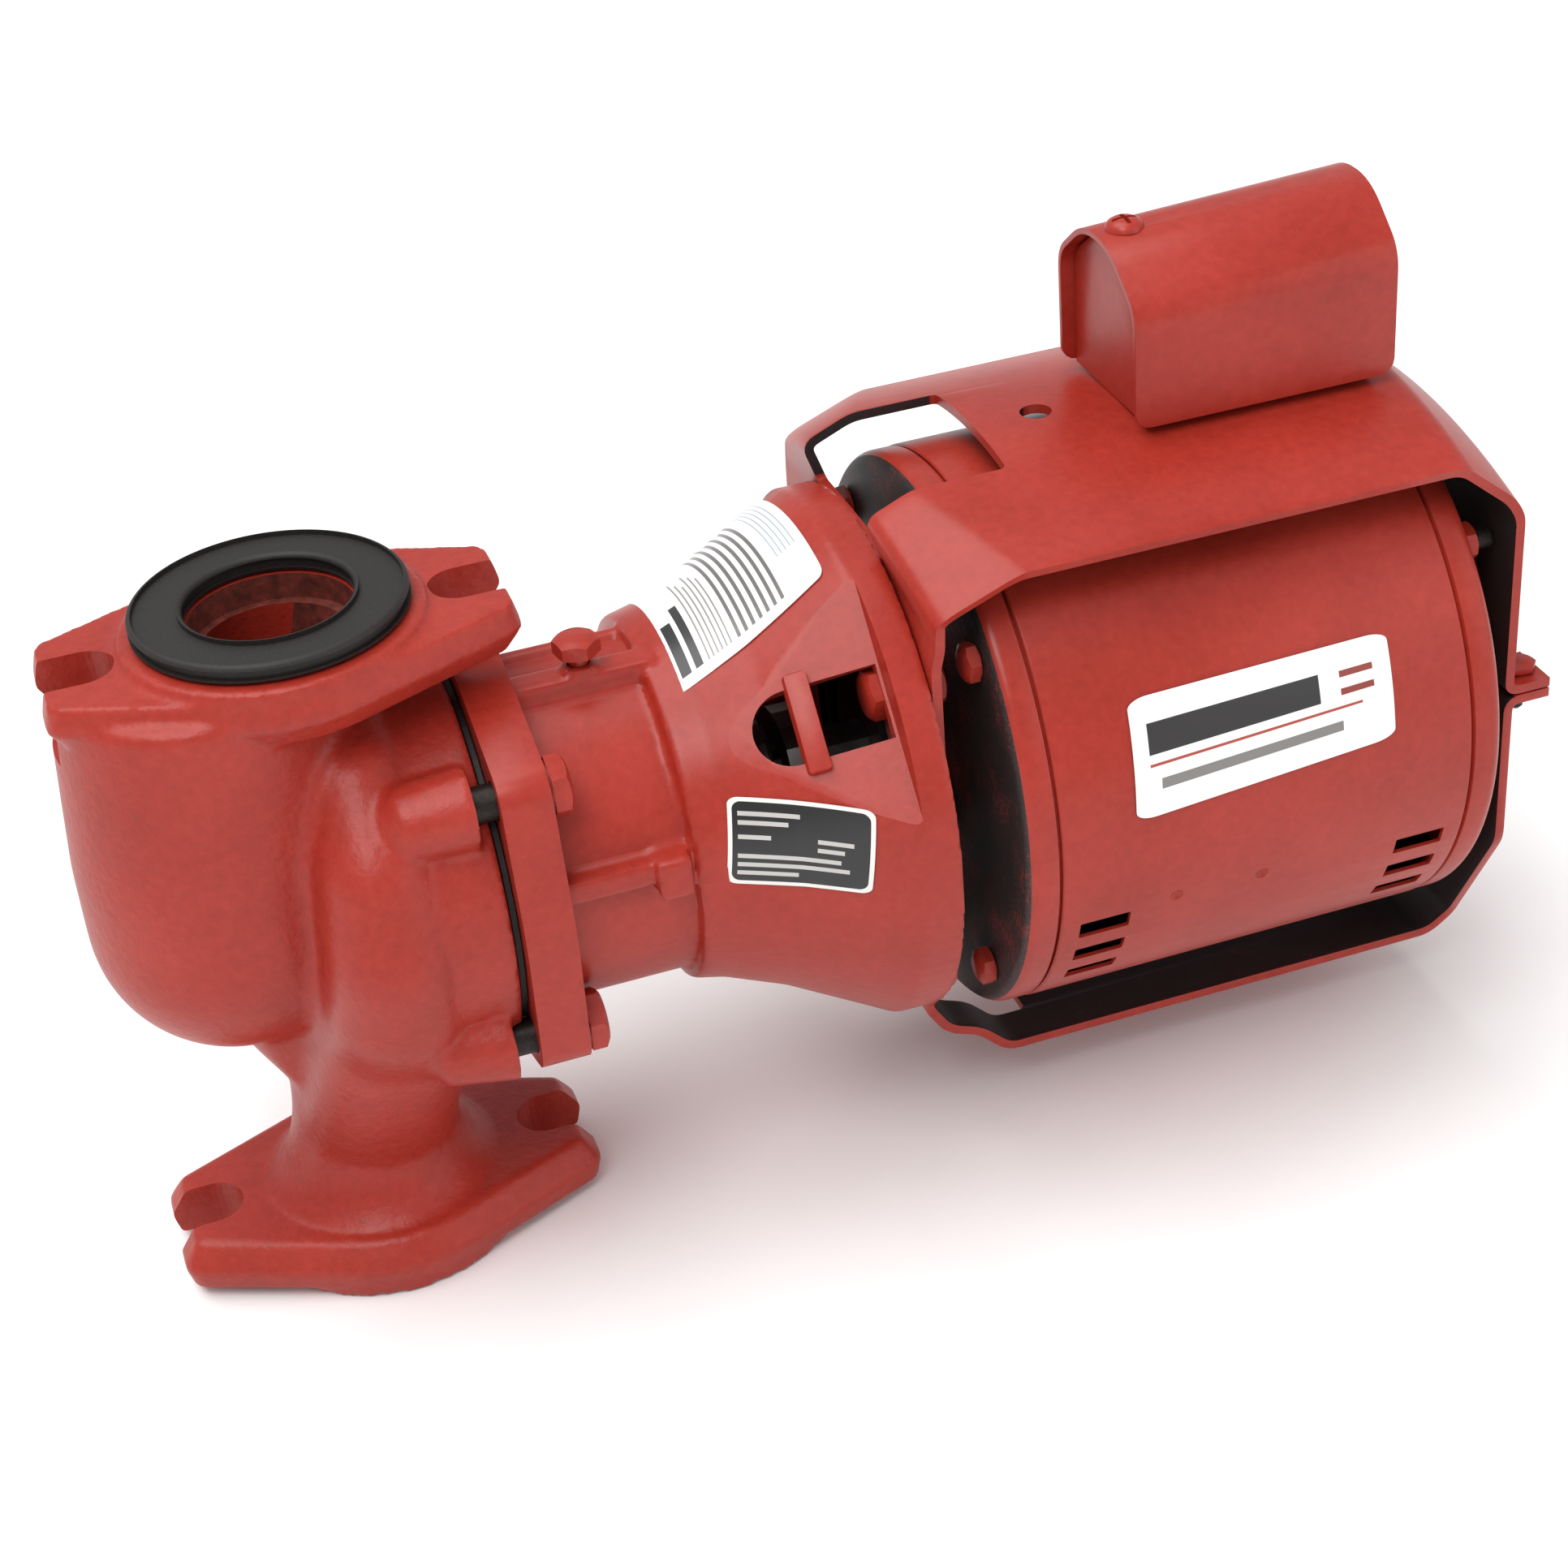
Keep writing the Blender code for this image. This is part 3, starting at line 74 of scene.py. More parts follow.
def around(radius, degrees, along=0.0):
    """A point about the shaft, turned from straight up towards the near side (-Y)."""
    turn = math.radians(degrees)
    return Vector((along, -radius * math.sin(turn), SHAFT + radius * math.cos(turn)))


def about_shaft(degrees):
    """The matrix that turns a shape made above the origin about the shaft."""
    return Matrix.Translation((0, 0, SHAFT)) @ Matrix.Rotation(math.radians(degrees), 4, "X")


def placed(at, direction=(0, 0, 1), turn=0.0):
    """The matrix that stands a piece made on Z at a place, along a direction."""
    lean = Vector(direction).to_track_quat("Z", "Y").to_matrix().to_4x4()
    return Matrix.Translation(Vector(at)) @ lean @ Matrix.Rotation(math.radians(turn), 4, "Z")


print("shaft line at", SHAFT, "mm above the lower flange")

# %% [markdown]
# ## Tools for meshes
# A rough shape becomes an object, its modifiers are settled into its mesh, and parts are gathered or cut
# from each other. Every piece uses these, so its own cell says only what is special about it.

# %% From a bmesh to an object and back
WELD = 1e-4  # mm within which two corners are one


def linked(name, bm):
    mesh = bpy.data.meshes.new(name)
    bm.to_mesh(mesh)
    bm.free()
    made = bpy.data.objects.new(name, mesh)
    scene.collection.objects.link(made)
    return made


def to_object(name, bm):
    """Welds the corners, turns the faces outwards and makes an object."""
    bmesh.ops.remove_doubles(bm, verts=bm.verts, dist=WELD)
    bmesh.ops.recalc_face_normals(bm, faces=bm.faces)
    return linked(name, bm)


def drop(*spent):
    for obj in spent:
        mesh = obj.data
        bpy.data.objects.remove(obj)
        bpy.data.meshes.remove(mesh)


def settle(obj):
    """Turns what the modifiers show into the object's own mesh."""
    bpy.context.view_layer.update()
    graph = bpy.context.evaluated_depsgraph_get()
    old = obj.data
    obj.data = bpy.data.meshes.new_from_object(obj.evaluated_get(graph))
    obj.modifiers.clear()
    bpy.data.meshes.remove(old)
    return obj


def gathered(name, parts):
    """Several shapes as loose shells of one object."""
    bm = bmesh.new()
    for part in parts:
        bm.from_mesh(part.data)
    drop(*parts)
    return linked(name, bm)


def combined(obj, tool, operation, overlapping=False):
    """One exact Boolean with a tool that is used up. overlapping says that the tool's shells overlap."""
    change = obj.modifiers.new("boolean", "BOOLEAN")
    change.operation = operation
    change.solver = "EXACT"
    change.use_self = overlapping
    change.object = tool
    settle(obj)
    drop(tool)
    return obj


def carved(obj, tools):
    """Cuts every tool out of the object at once."""
    return combined(obj, gathered("tool", tools), "DIFFERENCE", overlapping=True)


def thickened(obj, thickness, offset, even=True):
    """Gives a single surface a wall. offset 0 puts it on both sides, and 1 outside."""
    wall = obj.modifiers.new("wall", "SOLIDIFY")
    wall.thickness = thickness
    wall.offset = offset
    wall.use_even_offset = even
    return settle(obj)


print("mesh tools ready")

# %% [markdown]
# Turned pieces are a half outline spun about the shaft. Cast lumps are the tightest skin round a few
# circles and balls, which is how a pattern maker thinks of them: a boss here, a bend there.

# %% Basic shapes
def turned(name, outline, sides=96, axis="X", centre=(0, 0, SHAFT), closed=True):
    """Spins an outline of (along, radius) about an axis."""
    bm = bmesh.new()
    middle = Vector(centre)
    line = Vector((1, 0, 0)) if axis == "X" else Vector((0, 0, 1))
    out = Vector((0, 0, 1)) if axis == "X" else Vector((1, 0, 0))
    verts = [bm.verts.new(middle + line * along + out * radius) for along, radius in outline]
    edges = [bm.edges.new(pair) for pair in zip(verts, verts[1:])]
    if closed:
        edges.append(bm.edges.new((verts[-1], verts[0])))
    bmesh.ops.spin(
        bm, geom=verts + edges, cent=middle, axis=line, dvec=(0, 0, 0),
        angle=2 * math.pi, steps=sides, use_merge=True, use_duplicate=False,
    )
    return to_object(name, bm)


def rod(name, start, end, radius, sides=48):
    start, end = Vector(start), Vector(end)
    bm = bmesh.new()
    bmesh.ops.create_cone(
        bm, cap_ends=True, segments=sides, radius1=radius, radius2=radius,
        depth=(end - start).length, matrix=placed((start + end) / 2, end - start),
    )
    return to_object(name, bm)


def bolt_hole(ring, degrees, start, end, radius):
    """A drill along the shaft, at a turn on a bolt circle."""
    return rod("bolt_hole", around(ring, degrees, start), around(ring, degrees, end), radius, 24)


def slab(name, low, high, rounding=0.0):
    low, high = Vector(low), Vector(high)
    bm = bmesh.new()
    bmesh.ops.create_cube(bm, size=1)
    bmesh.ops.scale(bm, vec=high - low, verts=bm.verts)
    bmesh.ops.translate(bm, vec=(low + high) / 2, verts=bm.verts)
    if rounding:
        bmesh.ops.bevel(
            bm, geom=bm.edges[:], offset=rounding, segments=3, profile=0.5, affect="EDGES", material=-1
        )
    return to_object(name, bm)


def corners_of(bm):
    points = [vert.co.copy() for vert in bm.verts]
    bm.free()
    return points


def circle(centre, radius, axis="Z", count=48):
    bm = bmesh.new()
    direction = {"X": (1, 0, 0), "Y": (0, 1, 0), "Z": (0, 0, 1)}[axis]
    bmesh.ops.create_circle(bm, segments=count, radius=radius, matrix=placed(centre, direction))
    return corners_of(bm)


def ball(centre, radius):
    bm = bmesh.new()
    bmesh.ops.create_uvsphere(
        bm, u_segments=48, v_segments=24, radius=radius, matrix=Matrix.Translation(Vector(centre))
    )
    return corners_of(bm)


def hull(name, points):
    """The tightest skin round some points."""
    bm = bmesh.new()
    for point in points:
        bm.verts.new(Vector(point))
    made = bmesh.ops.convex_hull(bm, input=bm.verts)
    spare = set(made["geom_interior"]) | set(made["geom_unused"])
    inner = [item for item in spare if isinstance(item, bmesh.types.BMVert)]
    bmesh.ops.delete(bm, geom=inner, context="VERTS")
    return to_object(name, bm)


print("basic shapes ready")

# %% [markdown]
# Sand castings have a fillet wherever two shapes meet. Remeshing the gathered shapes into small even cubes
# and then smoothing them gives that, and the number of smoothing rounds sets how large the fillet is.

# %% Cast fillets, softened edges and finishing
def cast(obj, grain, rounds):
    """Melts overlapping shells into one skin. grain is the cube size in mm."""
    skin = obj.modifiers.new("skin", "REMESH")
    skin.mode = "VOXEL"
    skin.voxel_size = grain
    if rounds:
        fillet = obj.modifiers.new("fillet", "SMOOTH")
        fillet.factor = 0.5
        fillet.iterations = rounds
    return settle(obj)


def softened(obj, width, segments=2, angle=30):
    """Rounds every edge that is sharper than an angle."""
    edge = obj.modifiers.new("edge", "BEVEL")
    edge.width = width
    edge.segments = segments
    edge.limit_method = "ANGLE"
    edge.angle_limit = math.radians(angle)
    edge.harden_normals = False
    return settle(obj)


def finished(obj, finishes, stands_for, sharp, body="pump_body"):
    """Brings a piece to metres, gives it its finish, and makes it ride on a body of the frame."""
    obj.data.transform(Matrix.Scale(MM, 4))
    obj.data.materials.clear()
    for one in finishes if isinstance(finishes, list) else [finishes]:
        obj.data.materials.append(one)
    obj.data.shade_smooth()
    obj.data.set_sharp_from_angle(angle=math.radians(sharp))
    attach(obj, body)
    if stands_for:
        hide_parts(*stands_for)
    print(f"{obj.name}: {len(obj.data.polygons)} faces on {body}")
    return obj


def second_finish(obj, chosen):
    """Gives the second finish to the faces that a test on (centre in mm, outward direction) picks."""
    for face in obj.data.polygons:
        if chosen(face.center / MM, face.normal):
            face.material_index = 1


print("cast, softened and finished are ready")

# %% [markdown]
# ## Finishes
# Colours are written as the hex values one would pick on a screen, and turned to the linear light that a
# renderer adds up. One helper adds a node with its settings and links.

# %% Colour and node helpers
def tint(code):
    shades = [int(code[i : i + 2], 16) / 255 for i in (1, 3, 5)]
    return [s / 12.92 if s <= 0.04045 else ((s + 0.055) / 1.055) ** 2.4 for s in shades] + [1.0]


def add(tree, kind, inputs=None, stops=(), out=0, **settings):
    """Adds one node and returns an output. Inputs may be sockets, hex codes or values; stops are for a ramp."""
    made = tree.nodes.new(kind)
    for name, value in settings.items():
        setattr(made, name, value)
    for name, value in (inputs or {}).items():
        if isinstance(value, bpy.types.NodeSocket):
            tree.links.new(value, made.inputs[name])
        else:
            made.inputs[name].default_value = tint(value) if isinstance(value, str) else value
    if stops:
        points = made.color_ramp.elements
        points[0].position, points[0].color = stops[0][0], tint(stops[0][1])
        points[1].position, points[1].color = stops[-1][0], tint(stops[-1][1])
        for position, code in stops[1:-1]:
            points.new(position).color = tint(code)
    return made.outputs[out]


def noise(place, size_mm, detail=3.0, rough=0.5):
    """The inputs of a noise whose blobs are about this many millimetres across."""
    return {"Vector": place, "Scale": 1 / (size_mm * MM), "Detail": detail, "Roughness": rough}


def dressed(tree, shader, colour, height, depth_mm, under=None):
    """Links a colour, and a relief of a depth that may lie over another one."""
    tree.links.new(colour, shader.inputs["Base Color"])
    below = {"Normal": under} if under else {}
    relief = add(tree, "ShaderNodeBump", {"Height": height, "Distance": depth_mm * MM, **below})
    tree.links.new(relief, shader.inputs["Normal"])


def blank(name, **constants):
    """A new material with constants on its Principled shader."""
    made = bpy.data.materials.new(name)
    made.use_nodes = True
    shader = made.node_tree.nodes["Principled BSDF"]
    for socket, value in constants.items():
        shader.inputs[socket.replace("_", " ")].default_value = value
    return made, made.node_tree, shader


print("tint of the enamel:", [round(v, 3) for v in tint("#B02A22")[:3]])

# %% [markdown]
# The whole pump is sprayed with one red alkyd enamel after assembly. Over cast iron the film follows the
# sand's grain, and over sheet steel it shows only a faint orange peel. So the enamels share one colour and
# differ in their relief.

# %% Red enamel over iron and over sheet steel
ENAMEL_DEEP, ENAMEL_MID, ENAMEL_PALE = "#92271B", "#9E2D21", "#A93428"


def enamel(name, sand_mm, sand_depth, peel_depth, roughness):
    """Red enamel with cloudy colour, sand relief of a size and depth in mm, and a fine orange peel."""
    made, tree, shader = blank(name, Roughness=roughness, IOR=1.5, Specular_IOR_Level=0.35)
    place = add(tree, "ShaderNodeTexCoord", out="Object")
    cloud = add(tree, "ShaderNodeTexNoise", noise(place, 28, 2.0))
    speck = add(tree, "ShaderNodeTexNoise", noise(place, 2.2, 4.0, 0.6))
    both = add(tree, "ShaderNodeMath", {0: cloud, 1: speck}, operation="ADD")
    mean = add(tree, "ShaderNodeMath", {0: both, 1: 0.5}, operation="MULTIPLY")
    shades = [(0.32, ENAMEL_DEEP), (0.5, ENAMEL_MID), (0.7, ENAMEL_PALE)]
    colour = add(tree, "ShaderNodeValToRGB", {"Fac": mean}, shades)
    sand = add(tree, "ShaderNodeTexNoise", noise(place, sand_mm, 4.0, 0.55))
    peel = add(tree, "ShaderNodeTexNoise", noise(place, 0.9, 2.0))
    grainy = add(tree, "ShaderNodeBump", {"Height": sand, "Distance": sand_depth * MM})
    dressed(tree, shader, colour, peel, peel_depth, grainy)
    return made


# The sand's grain gives the castings a soft, uneven gloss.
enamel_on_iron = enamel("red_alkyd_enamel_on_cast_iron", 2.4, 0.22, 0.02, 0.4)
# The bracket is fettled smoother, so its highlights are longer.
enamel_on_machined = enamel("red_alkyd_enamel_on_smooth_iron", 6.0, 0.06, 0.015, 0.34)
# Sheet and hex heads shine evenly, with a faint orange peel.
enamel_on_steel = enamel("red_alkyd_enamel_on_sheet_steel", 9.0, 0.05, 0.012, 0.33)
print("red enamels made")

# %% [markdown]
# Where little light reaches, on the front bell's face and inside the cradle, the colour is painted shade: a
# dark tone with a dusting of red overspray. The dusting is a mask that fades out with a ragged edge.

# %% Painted shade and overspray
def dusted_painted_shade(name, amount, size_mm):
    """Painted shade: a dark colour with a ragged dusting of red overspray. A larger amount lets more red through.
    """
    made, tree, shader = blank(name, Roughness=0.55, IOR=1.5)
    place = add(tree, "ShaderNodeTexCoord", out="Object")
    dust = add(tree, "ShaderNodeTexNoise", noise(place, size_mm, 5.0, 0.62))
    fine = add(tree, "ShaderNodeTexNoise", noise(place, 0.7, 2.0, 0.7))
    both = add(tree, "ShaderNodeMath", {0: dust, 1: fine}, operation="ADD")
    mean = add(tree, "ShaderNodeMath", {0: both, 1: 0.5}, operation="MULTIPLY")
    # The two dark stops are painted shade, and the red stop is the overspray.
    shades = [(0.42, "#201B1A"), (0.62 - amount, "#2B2120"), (0.74 - amount, "#7A2A24")]
    dressed(tree, shader, add(tree, "ShaderNodeValToRGB", {"Fac": mean}, shades), fine, 0.02)
    return made


# The cradle's inside is darkened as painted shade, so its edge shows as a thin red line.
cradle_inner_painted_shade = dusted_painted_shade("painted_shade_inside_cradle_dusted_red", 0.0, 11)
# The front bell's face is darkened as painted shade, with more red dust: the shadow between the red cone and the
# red shell.
bell_face_painted_shade = dusted_painted_shade("painted_shade_on_front_bell_dusted_red", 0.1, 16)
# Both materials are painted shade with red overspray.
print("dark primer made")


# %% [markdown]
# The other finishes are bare materials inside or between the painted pieces.

# %% Rubber, metals and inner materials
def plain(name, stops, size_mm, depth_mm, roughness, metallic=0.0, stretch=(1, 1, 1)):
    """A bare material: one noise gives both its shades and its relief. stretch draws the noise into lines."""
    made, tree, shader = blank(name, Roughness=roughness, Metallic=metallic)
    place = add(tree, "ShaderNodeTexCoord", out="Object")
    drawn = add(tree, "ShaderNodeMapping", {"Vector": place, "Scale": stretch})
    pattern = add(tree, "ShaderNodeTexNoise", noise(drawn, size_mm, 3.0, 0.6))
    dressed(tree, shader, add(tree, "ShaderNodeValToRGB", {"Fac": pattern}, stops), pattern, depth_mm)
    return made


# Nearly black and dull, with a fine moulded grain that breaks up its highlights.
moulded_rubber = plain(
    "moulded_rubber", [(0.35, "#16120F"), (0.6, "#1D1815"), (0.8, "#28221E")], 0.9, 0.05, 0.6)
# Bright, with rings left by the turning tool round the shaft.
turned_steel = plain("turned_steel", [(0.3, "#8A8A88"), (0.7, "#B4B4B0")], 0.5, 0.01, 0.3, 1.0, (6, 1, 1))
# Warm yellow metal with a faint cast skin, against the grey of the steel.
cast_bronze = plain("cast_bronze", [(0.3, "#8F6A35"), (0.7, "#B58A4A")], 1.4, 0.03, 0.38, 1.0)
# Thin dark lines across the shaft, as a stack of stamped sheets shows at its edge.
laminations = plain(
    "stacked_laminations", [(0.35, "#3A3A3C"), (0.65, "#6A6A6C")], 0.6, 0.04, 0.5, 1.0, (9, 1, 1))
# Glossy brown strands that run along the core.
copper_wire = plain(
    "lacquered_copper_wire", [(0.3, "#7A3A1E"), (0.7, "#B4622F")], 0.9, 0.12, 0.35, 1.0, (1, 5, 5))
# Matt and fibrous, the only soft piece.
oiled_felt = plain("oiled_felt", [(0.3, "#8E8264"), (0.7, "#B9AC88")], 0.4, 0.08, 0.95)
# Black with an even sheen, almost without relief.
lapped_carbon = plain("lapped_carbon", [(0.3, "#151516"), (0.7, "#232325")], 0.5, 0.005, 0.3)
# Cream and the smoothest of all.
fired_ceramic = plain("fired_ceramic", [(0.3, "#DAD5C8"), (0.7, "#E8E4DA")], 1.2, 0.003, 0.2)
# The unpainted inside of the casing: brown, rough, and a little damp.
bare_iron = plain(
    "rusty_wet_cast_iron", [(0.3, "#4A1E16"), (0.55, "#6B2A20"), (0.75, "#7E3529")], 2.6, 0.15, 0.6, 0.1)
# Screw shanks that the paint missed: dark steel, made near black as painted shade for the gaps they stand in.
shank_dark_steel_and_gap_shade = plain("dark_steel_with_painted_gap_shade", [(0.3, "#1E1A18"), (0.7, "#322C29")], 0.8, 0.02, 0.45, 0.6)
# An even dark can, smoother than the rubber beside it.
lacquered_can = plain("black_lacquered_can", [(0.3, "#1C1C1E"), (0.7, "#2C2C2F")], 1.0, 0.01, 0.35)
print("inner finishes made")

# %% [markdown]
# ## The volute casing
# One iron casting joins both pipe flanges. Water comes in at the top, drops into the round suction bulb,
# turns into the impeller's eye, and leaves the scroll through the neck to the lower flange. The body is
# melted from a few hulls into one skin with many smoothing rounds, because its fillets are large: the
# founder wanted the water to see no corners.

# %% Casting body
BEND = (-20.5, 0, 94.6)
CASING_FACE = 32.8
PORT, BULB_BORE = 17.9, 24.5
# turn from straight up towards the near side, then the scroll's own radius there
SCROLL = [(-150, 9), (-120, 10), (-90, 10.5), (-60, 11), (-30, 11.5), (0, 12), (30, 12.5), (60, 13.5),
          (90, 15), (115, 16.5), (140, 18.5), (160, 20)]


def scroll_ball(degrees, radius):
    return ball(around(50.0 - radius, degrees, 9.5 - 0.2 * (radius - 9)), radius)


scroll = []
for one, two in zip(SCROLL, SCROLL[1:]):
    scroll.append(hull("scroll", scroll_ball(*one) + scroll_ball(*two)))
body = gathered("casing_body", [
    hull("bulb", ball(BEND, 31.9) + ball((-20.2, 0, 112), 32) + circle((-18, 0, 156), 30.5, count=64)),
    hull("bulb_back", ball((-14, 0, 97), 30) + ball((4, 0, 100), 26)),
    hull("throat", scroll_ball(160, 20) + ball((1, -2, 44), 17.6)),
    hull("throat_side", scroll_ball(140, 18.5) + ball((1, -3, 42), 17) + circle((1, -1.5, 27), 18.4)),
    hull("web", ball((-9, 0, 66), 17) + ball((0, 0, 47), 16)),
    turned("neck", [
        (60, 0), (60, 15), (46, 16.9), (38, 17.4), (32, 18.2), (27, 19.4), (22, 21), (18, 23.2), (15.5, 25.8),
        (13, 28.5), (3, 28.5), (3, 0),
    ], 96, "Z", (0, 0, 0), closed=False),
    turned("front_wall", [(30, 0), (30, 43), (12, 43), (2, 36), (-6, 26), (-8, 0)], closed=False),
    *scroll,
])
cast(body, 1.3, 22)
print("casing body:", len(body.data.polygons), "faces")

# %% [markdown]
# These are standard two-bolt circulator flanges: an oval plate with open slots at both ends, so the pump
# can slide out sideways, a raised gasket face, and a ridge round the edge where the halves of the mould
# met. Each is a hull of its rounded corners, widest at mid height.

# %% Flanges
FLANGE = 34.0
TIP, TIP_HALF = 50.0, 17.0
THICK = 14.2
SLOT_HALF = 6.9
SLOT_CENTRE = 40.1


def flange_ring(level, inset):
    points = circle((0, 0, level), FLANGE - inset, count=64)
    for side in (-1, 1):
        for y in (-1, 1):
            corner = (side * (TIP - 5), y * (TIP_HALF - 5), level)
            points += circle(corner, 5 - inset, count=24)
    return points


def flange(name, face, inward):
    edge = face + inward * 2.4
    back = face + inward * THICK
    middle = face + inward * 8.2
    plate = hull(name, flange_ring(edge, 1.4) + flange_ring(middle, 0) + flange_ring(back, 4.2))
    raised_face = rod(name + "_face", (0, 0, face), (0, 0, middle), 32.5, 72)
    return [plate, raised_face]


def slot(name, side, low, high):
    points = []
    for level in (low, high):
        points += circle((side * SLOT_CENTRE, 0, level), SLOT_HALF, count=32)
        points += circle((side * (TIP + 14), 0, level), SLOT_HALF, count=32)
    return hull(name, points)


flanges = flange("lower_flange", 0, 1) + flange("upper_flange", FACE_TO_FACE, -1)
print("flanges made:", len(flanges), "shells")

# %% [markdown]
# Four ears carry the cap screws that hold the bearing bracket. They stop a little short of the bracket's
# plate, so the shank of each screw shows in a dark gap. A flat ring round the scroll carries the gasket.

# %% Ears and gasket face
BOLT_CIRCLE = 46.9
CASING_BOLTS = (48, 127, 233, 312)
ears = [rod("rim", (12, 0, SHAFT), (CASING_FACE, 0, SHAFT), 45, 96)]
for angle in CASING_BOLTS:
    points = circle(around(BOLT_CIRCLE, angle, 29.6), 8.9, "X", 32)
    points += circle(around(BOLT_CIRCLE - 2, angle, 14), 8.4, "X", 32)
    points += circle(around(32, angle, 28), 11, "X", 32) + circle(around(31, angle, 2), 9, "X", 32)
    ears.append(hull(f"ear_{angle}", points))
print("ears at", CASING_BOLTS)

# %% [markdown]
# Everything is melted together once more with a finer grain and few rounds, which leaves the flanges
# crisper than the body. Ports, slots and screw holes are machined, so they come last and keep sharp rims.

# %% Whole casting
casing = gathered("casing", [body, *flanges, *ears])
cast(casing, 0.95, 5)
cuts = [
    rod("upper_port", (0, 0, 156), (0, 0, 168), PORT, 72),
    hull("inlet", circle((0, 0, 157), 15.6, count=72) + ball(BEND, BULB_BORE)),
    rod("chamber", (14, 0, SHAFT), (40, 0, SHAFT), 36, 96),
    rod("eye", (BEND[0], 0, SHAFT), (16, 0, SHAFT), 14, 72),
    hull("outlet", circle((0, 0, -2), 13, count=64) + circle((7, 0, 62), 8.5, count=64)),
    rod("lower_port", (0, 0, -3), (0, 0, 9), PORT, 72),
]
for side in (-1, 1):
    cuts.append(slot(f"lower_slot_{side}", side, -3, 20))
    cuts.append(slot(f"upper_slot_{side}", side, FACE_TO_FACE - 20, FACE_TO_FACE + 3))
for angle in CASING_BOLTS:
    cuts.append(bolt_hole(BOLT_CIRCLE, angle, 17, 40, 4.4))
carved(casing, cuts)
casing.name = "casing_casting"
finished(casing, [enamel_on_iron, bare_iron], ["volute_casing"], 38)

def wetted(at, _):
    """Whether water touches the casing there: the ports, and the room inside the bulb."""
    x, y, z = at
    across = math.hypot(x, y)
    if across < PORT + 0.15 and (1 < z < 20 or 1 < FACE_TO_FACE - z < 12):
        return True
    in_bulb = (at - Vector(BEND)).length < BULB_BORE + 2 or across < 17
    return in_bulb and SHAFT - 27 < z < FACE_TO_FACE - 5 and x < 17


second_finish(casing, wetted)

# %% [markdown]
# ## The bearing bracket
# This casting closes the scroll, holds the two sleeve bearings and the oil well in its cylinder, and
# widens into a cone with two hand windows, through which the coupler's screws are reached. Each window is
# a flat facet with a slot in its floor and a bar across the slot.

# %% Bracket shape
PLATE_FRONT, PLATE_REAR = 34.6, 45.6
HOUSING_END = 74.6
RIM_REAR = 127.6
RIM_BOLTS = (45, 135, 225, 315)
RIM_CIRCLE, TIE_CIRCLE = 49, 57
OIL_X, OIL_Y = 61.4, -8.7
WINDOW_TURN = 48.5  # degrees from straight up to the middle of a hand window
bracket_shell = turned("bracket_shell", [
    (RIM_REAR, 61.8), (118.6, 61.8), (117, 60.9), (95.8, 49.4), (82, 43.9), (78, 43.0), (75.2, 42.4),
    (74.4, 41.6), (74.4, 39.3), (PLATE_REAR - 3, 39.3), (PLATE_REAR - 3, 20), (54, 12), (88, 12),
    (88, 34), (95.8, 41.8), (117, 52.8), (121.2, 52.8), (121.2, 42), (RIM_REAR, 42),
])


def at_window(degrees, along, across, height):
    """A point of a window's own frame: along the shaft, across the facet, height from the shaft."""
    return about_shaft(degrees) @ Vector((along, across, height))


FACET_START, FACET_END = 82.6, 120
FACET_LOW, FACET_HIGH = 44.5, 55.7
SLOT_START, SLOT_END, WINDOW_HALF = 99.6, 119.4, 8.2
CLEAR = 95  # outside everything, for the far end of a cut


def facet_height(x):
    """The facet leans with the cone."""
    return FACET_LOW + (FACET_HIGH - FACET_LOW) * (x - FACET_START) / (FACET_END - FACET_START)


def window(degrees):
    """The facet to cut, the opening to cut, and the bar to add."""
    corners = [(FACET_START, facet_height(FACET_START)), (FACET_END, facet_height(FACET_END)),
               (FACET_END, CLEAR), (FACET_START, CLEAR)]
    facet = [at_window(degrees, x, y, z) for y in (-32, 32) for x, z in corners]
    opening = []
    for level in (26, CLEAR):
        round_end = circle((SLOT_START, 0, level), WINDOW_HALF, count=40)
        opening += [at_window(degrees, *point) for point in round_end]
        opening += [at_window(degrees, SLOT_END, y, level) for y in (-WINDOW_HALF, WINDOW_HALF)]
    bar = []
    reach = 11 if degrees > 0 else 8
    for x in (100.1, 104.8):
        bar += [at_window(degrees, x, y, facet_height(x) + z) for y in (-reach, reach) for z in (-1.2, 2.4)]
    return hull("facet", facet), hull("opening", opening), softened(hull("bar", bar), 0.6)


PLATE_RADIUS = 49
plate_points = []
for x in (PLATE_FRONT, PLATE_REAR):
    plate_points += circle((x, 0, SHAFT), PLATE_RADIUS - 1.5, "X", 96)
    for angle in CASING_BOLTS:
        plate_points += circle(around(BOLT_CIRCLE, angle, x), 7.6, "X", 40)
bolted_plate = softened(hull("plate", plate_points), 0.7, 3, 40)
rail_top = SHAFT + 42.4
extras = [
    slab("rail", (PLATE_REAR - 3, -12.4, SHAFT + 30), (HOUSING_END + 3, -5, rail_top), 0.8),
    rod("oil_boss", (OIL_X, OIL_Y, rail_top - 8), (OIL_X, OIL_Y, rail_top + 1.6), 3.9, 32),
    slab("side_rib", (PLATE_REAR - 3, -43, SHAFT + 6), (HOUSING_END - 4, -33, SHAFT + 11.3), 0.7),
    slab("rib_boss", (65.4, -45.0, SHAFT + 2.4), (73, -33, SHAFT + 11.9), 0.8),
    slab("top_rib", (PLATE_REAR - 3, 6, SHAFT + 30), (HOUSING_END + 2, 9, SHAFT + 40.6), 0.7),
]
print("bracket shapes ready")

# %% [markdown]
# The cone, the ribs and the bosses are melted into one skin for their fillets. The facets, the bolted plate
# and the bars come after it and stay crisp. The bores and bolt holes are cut last.

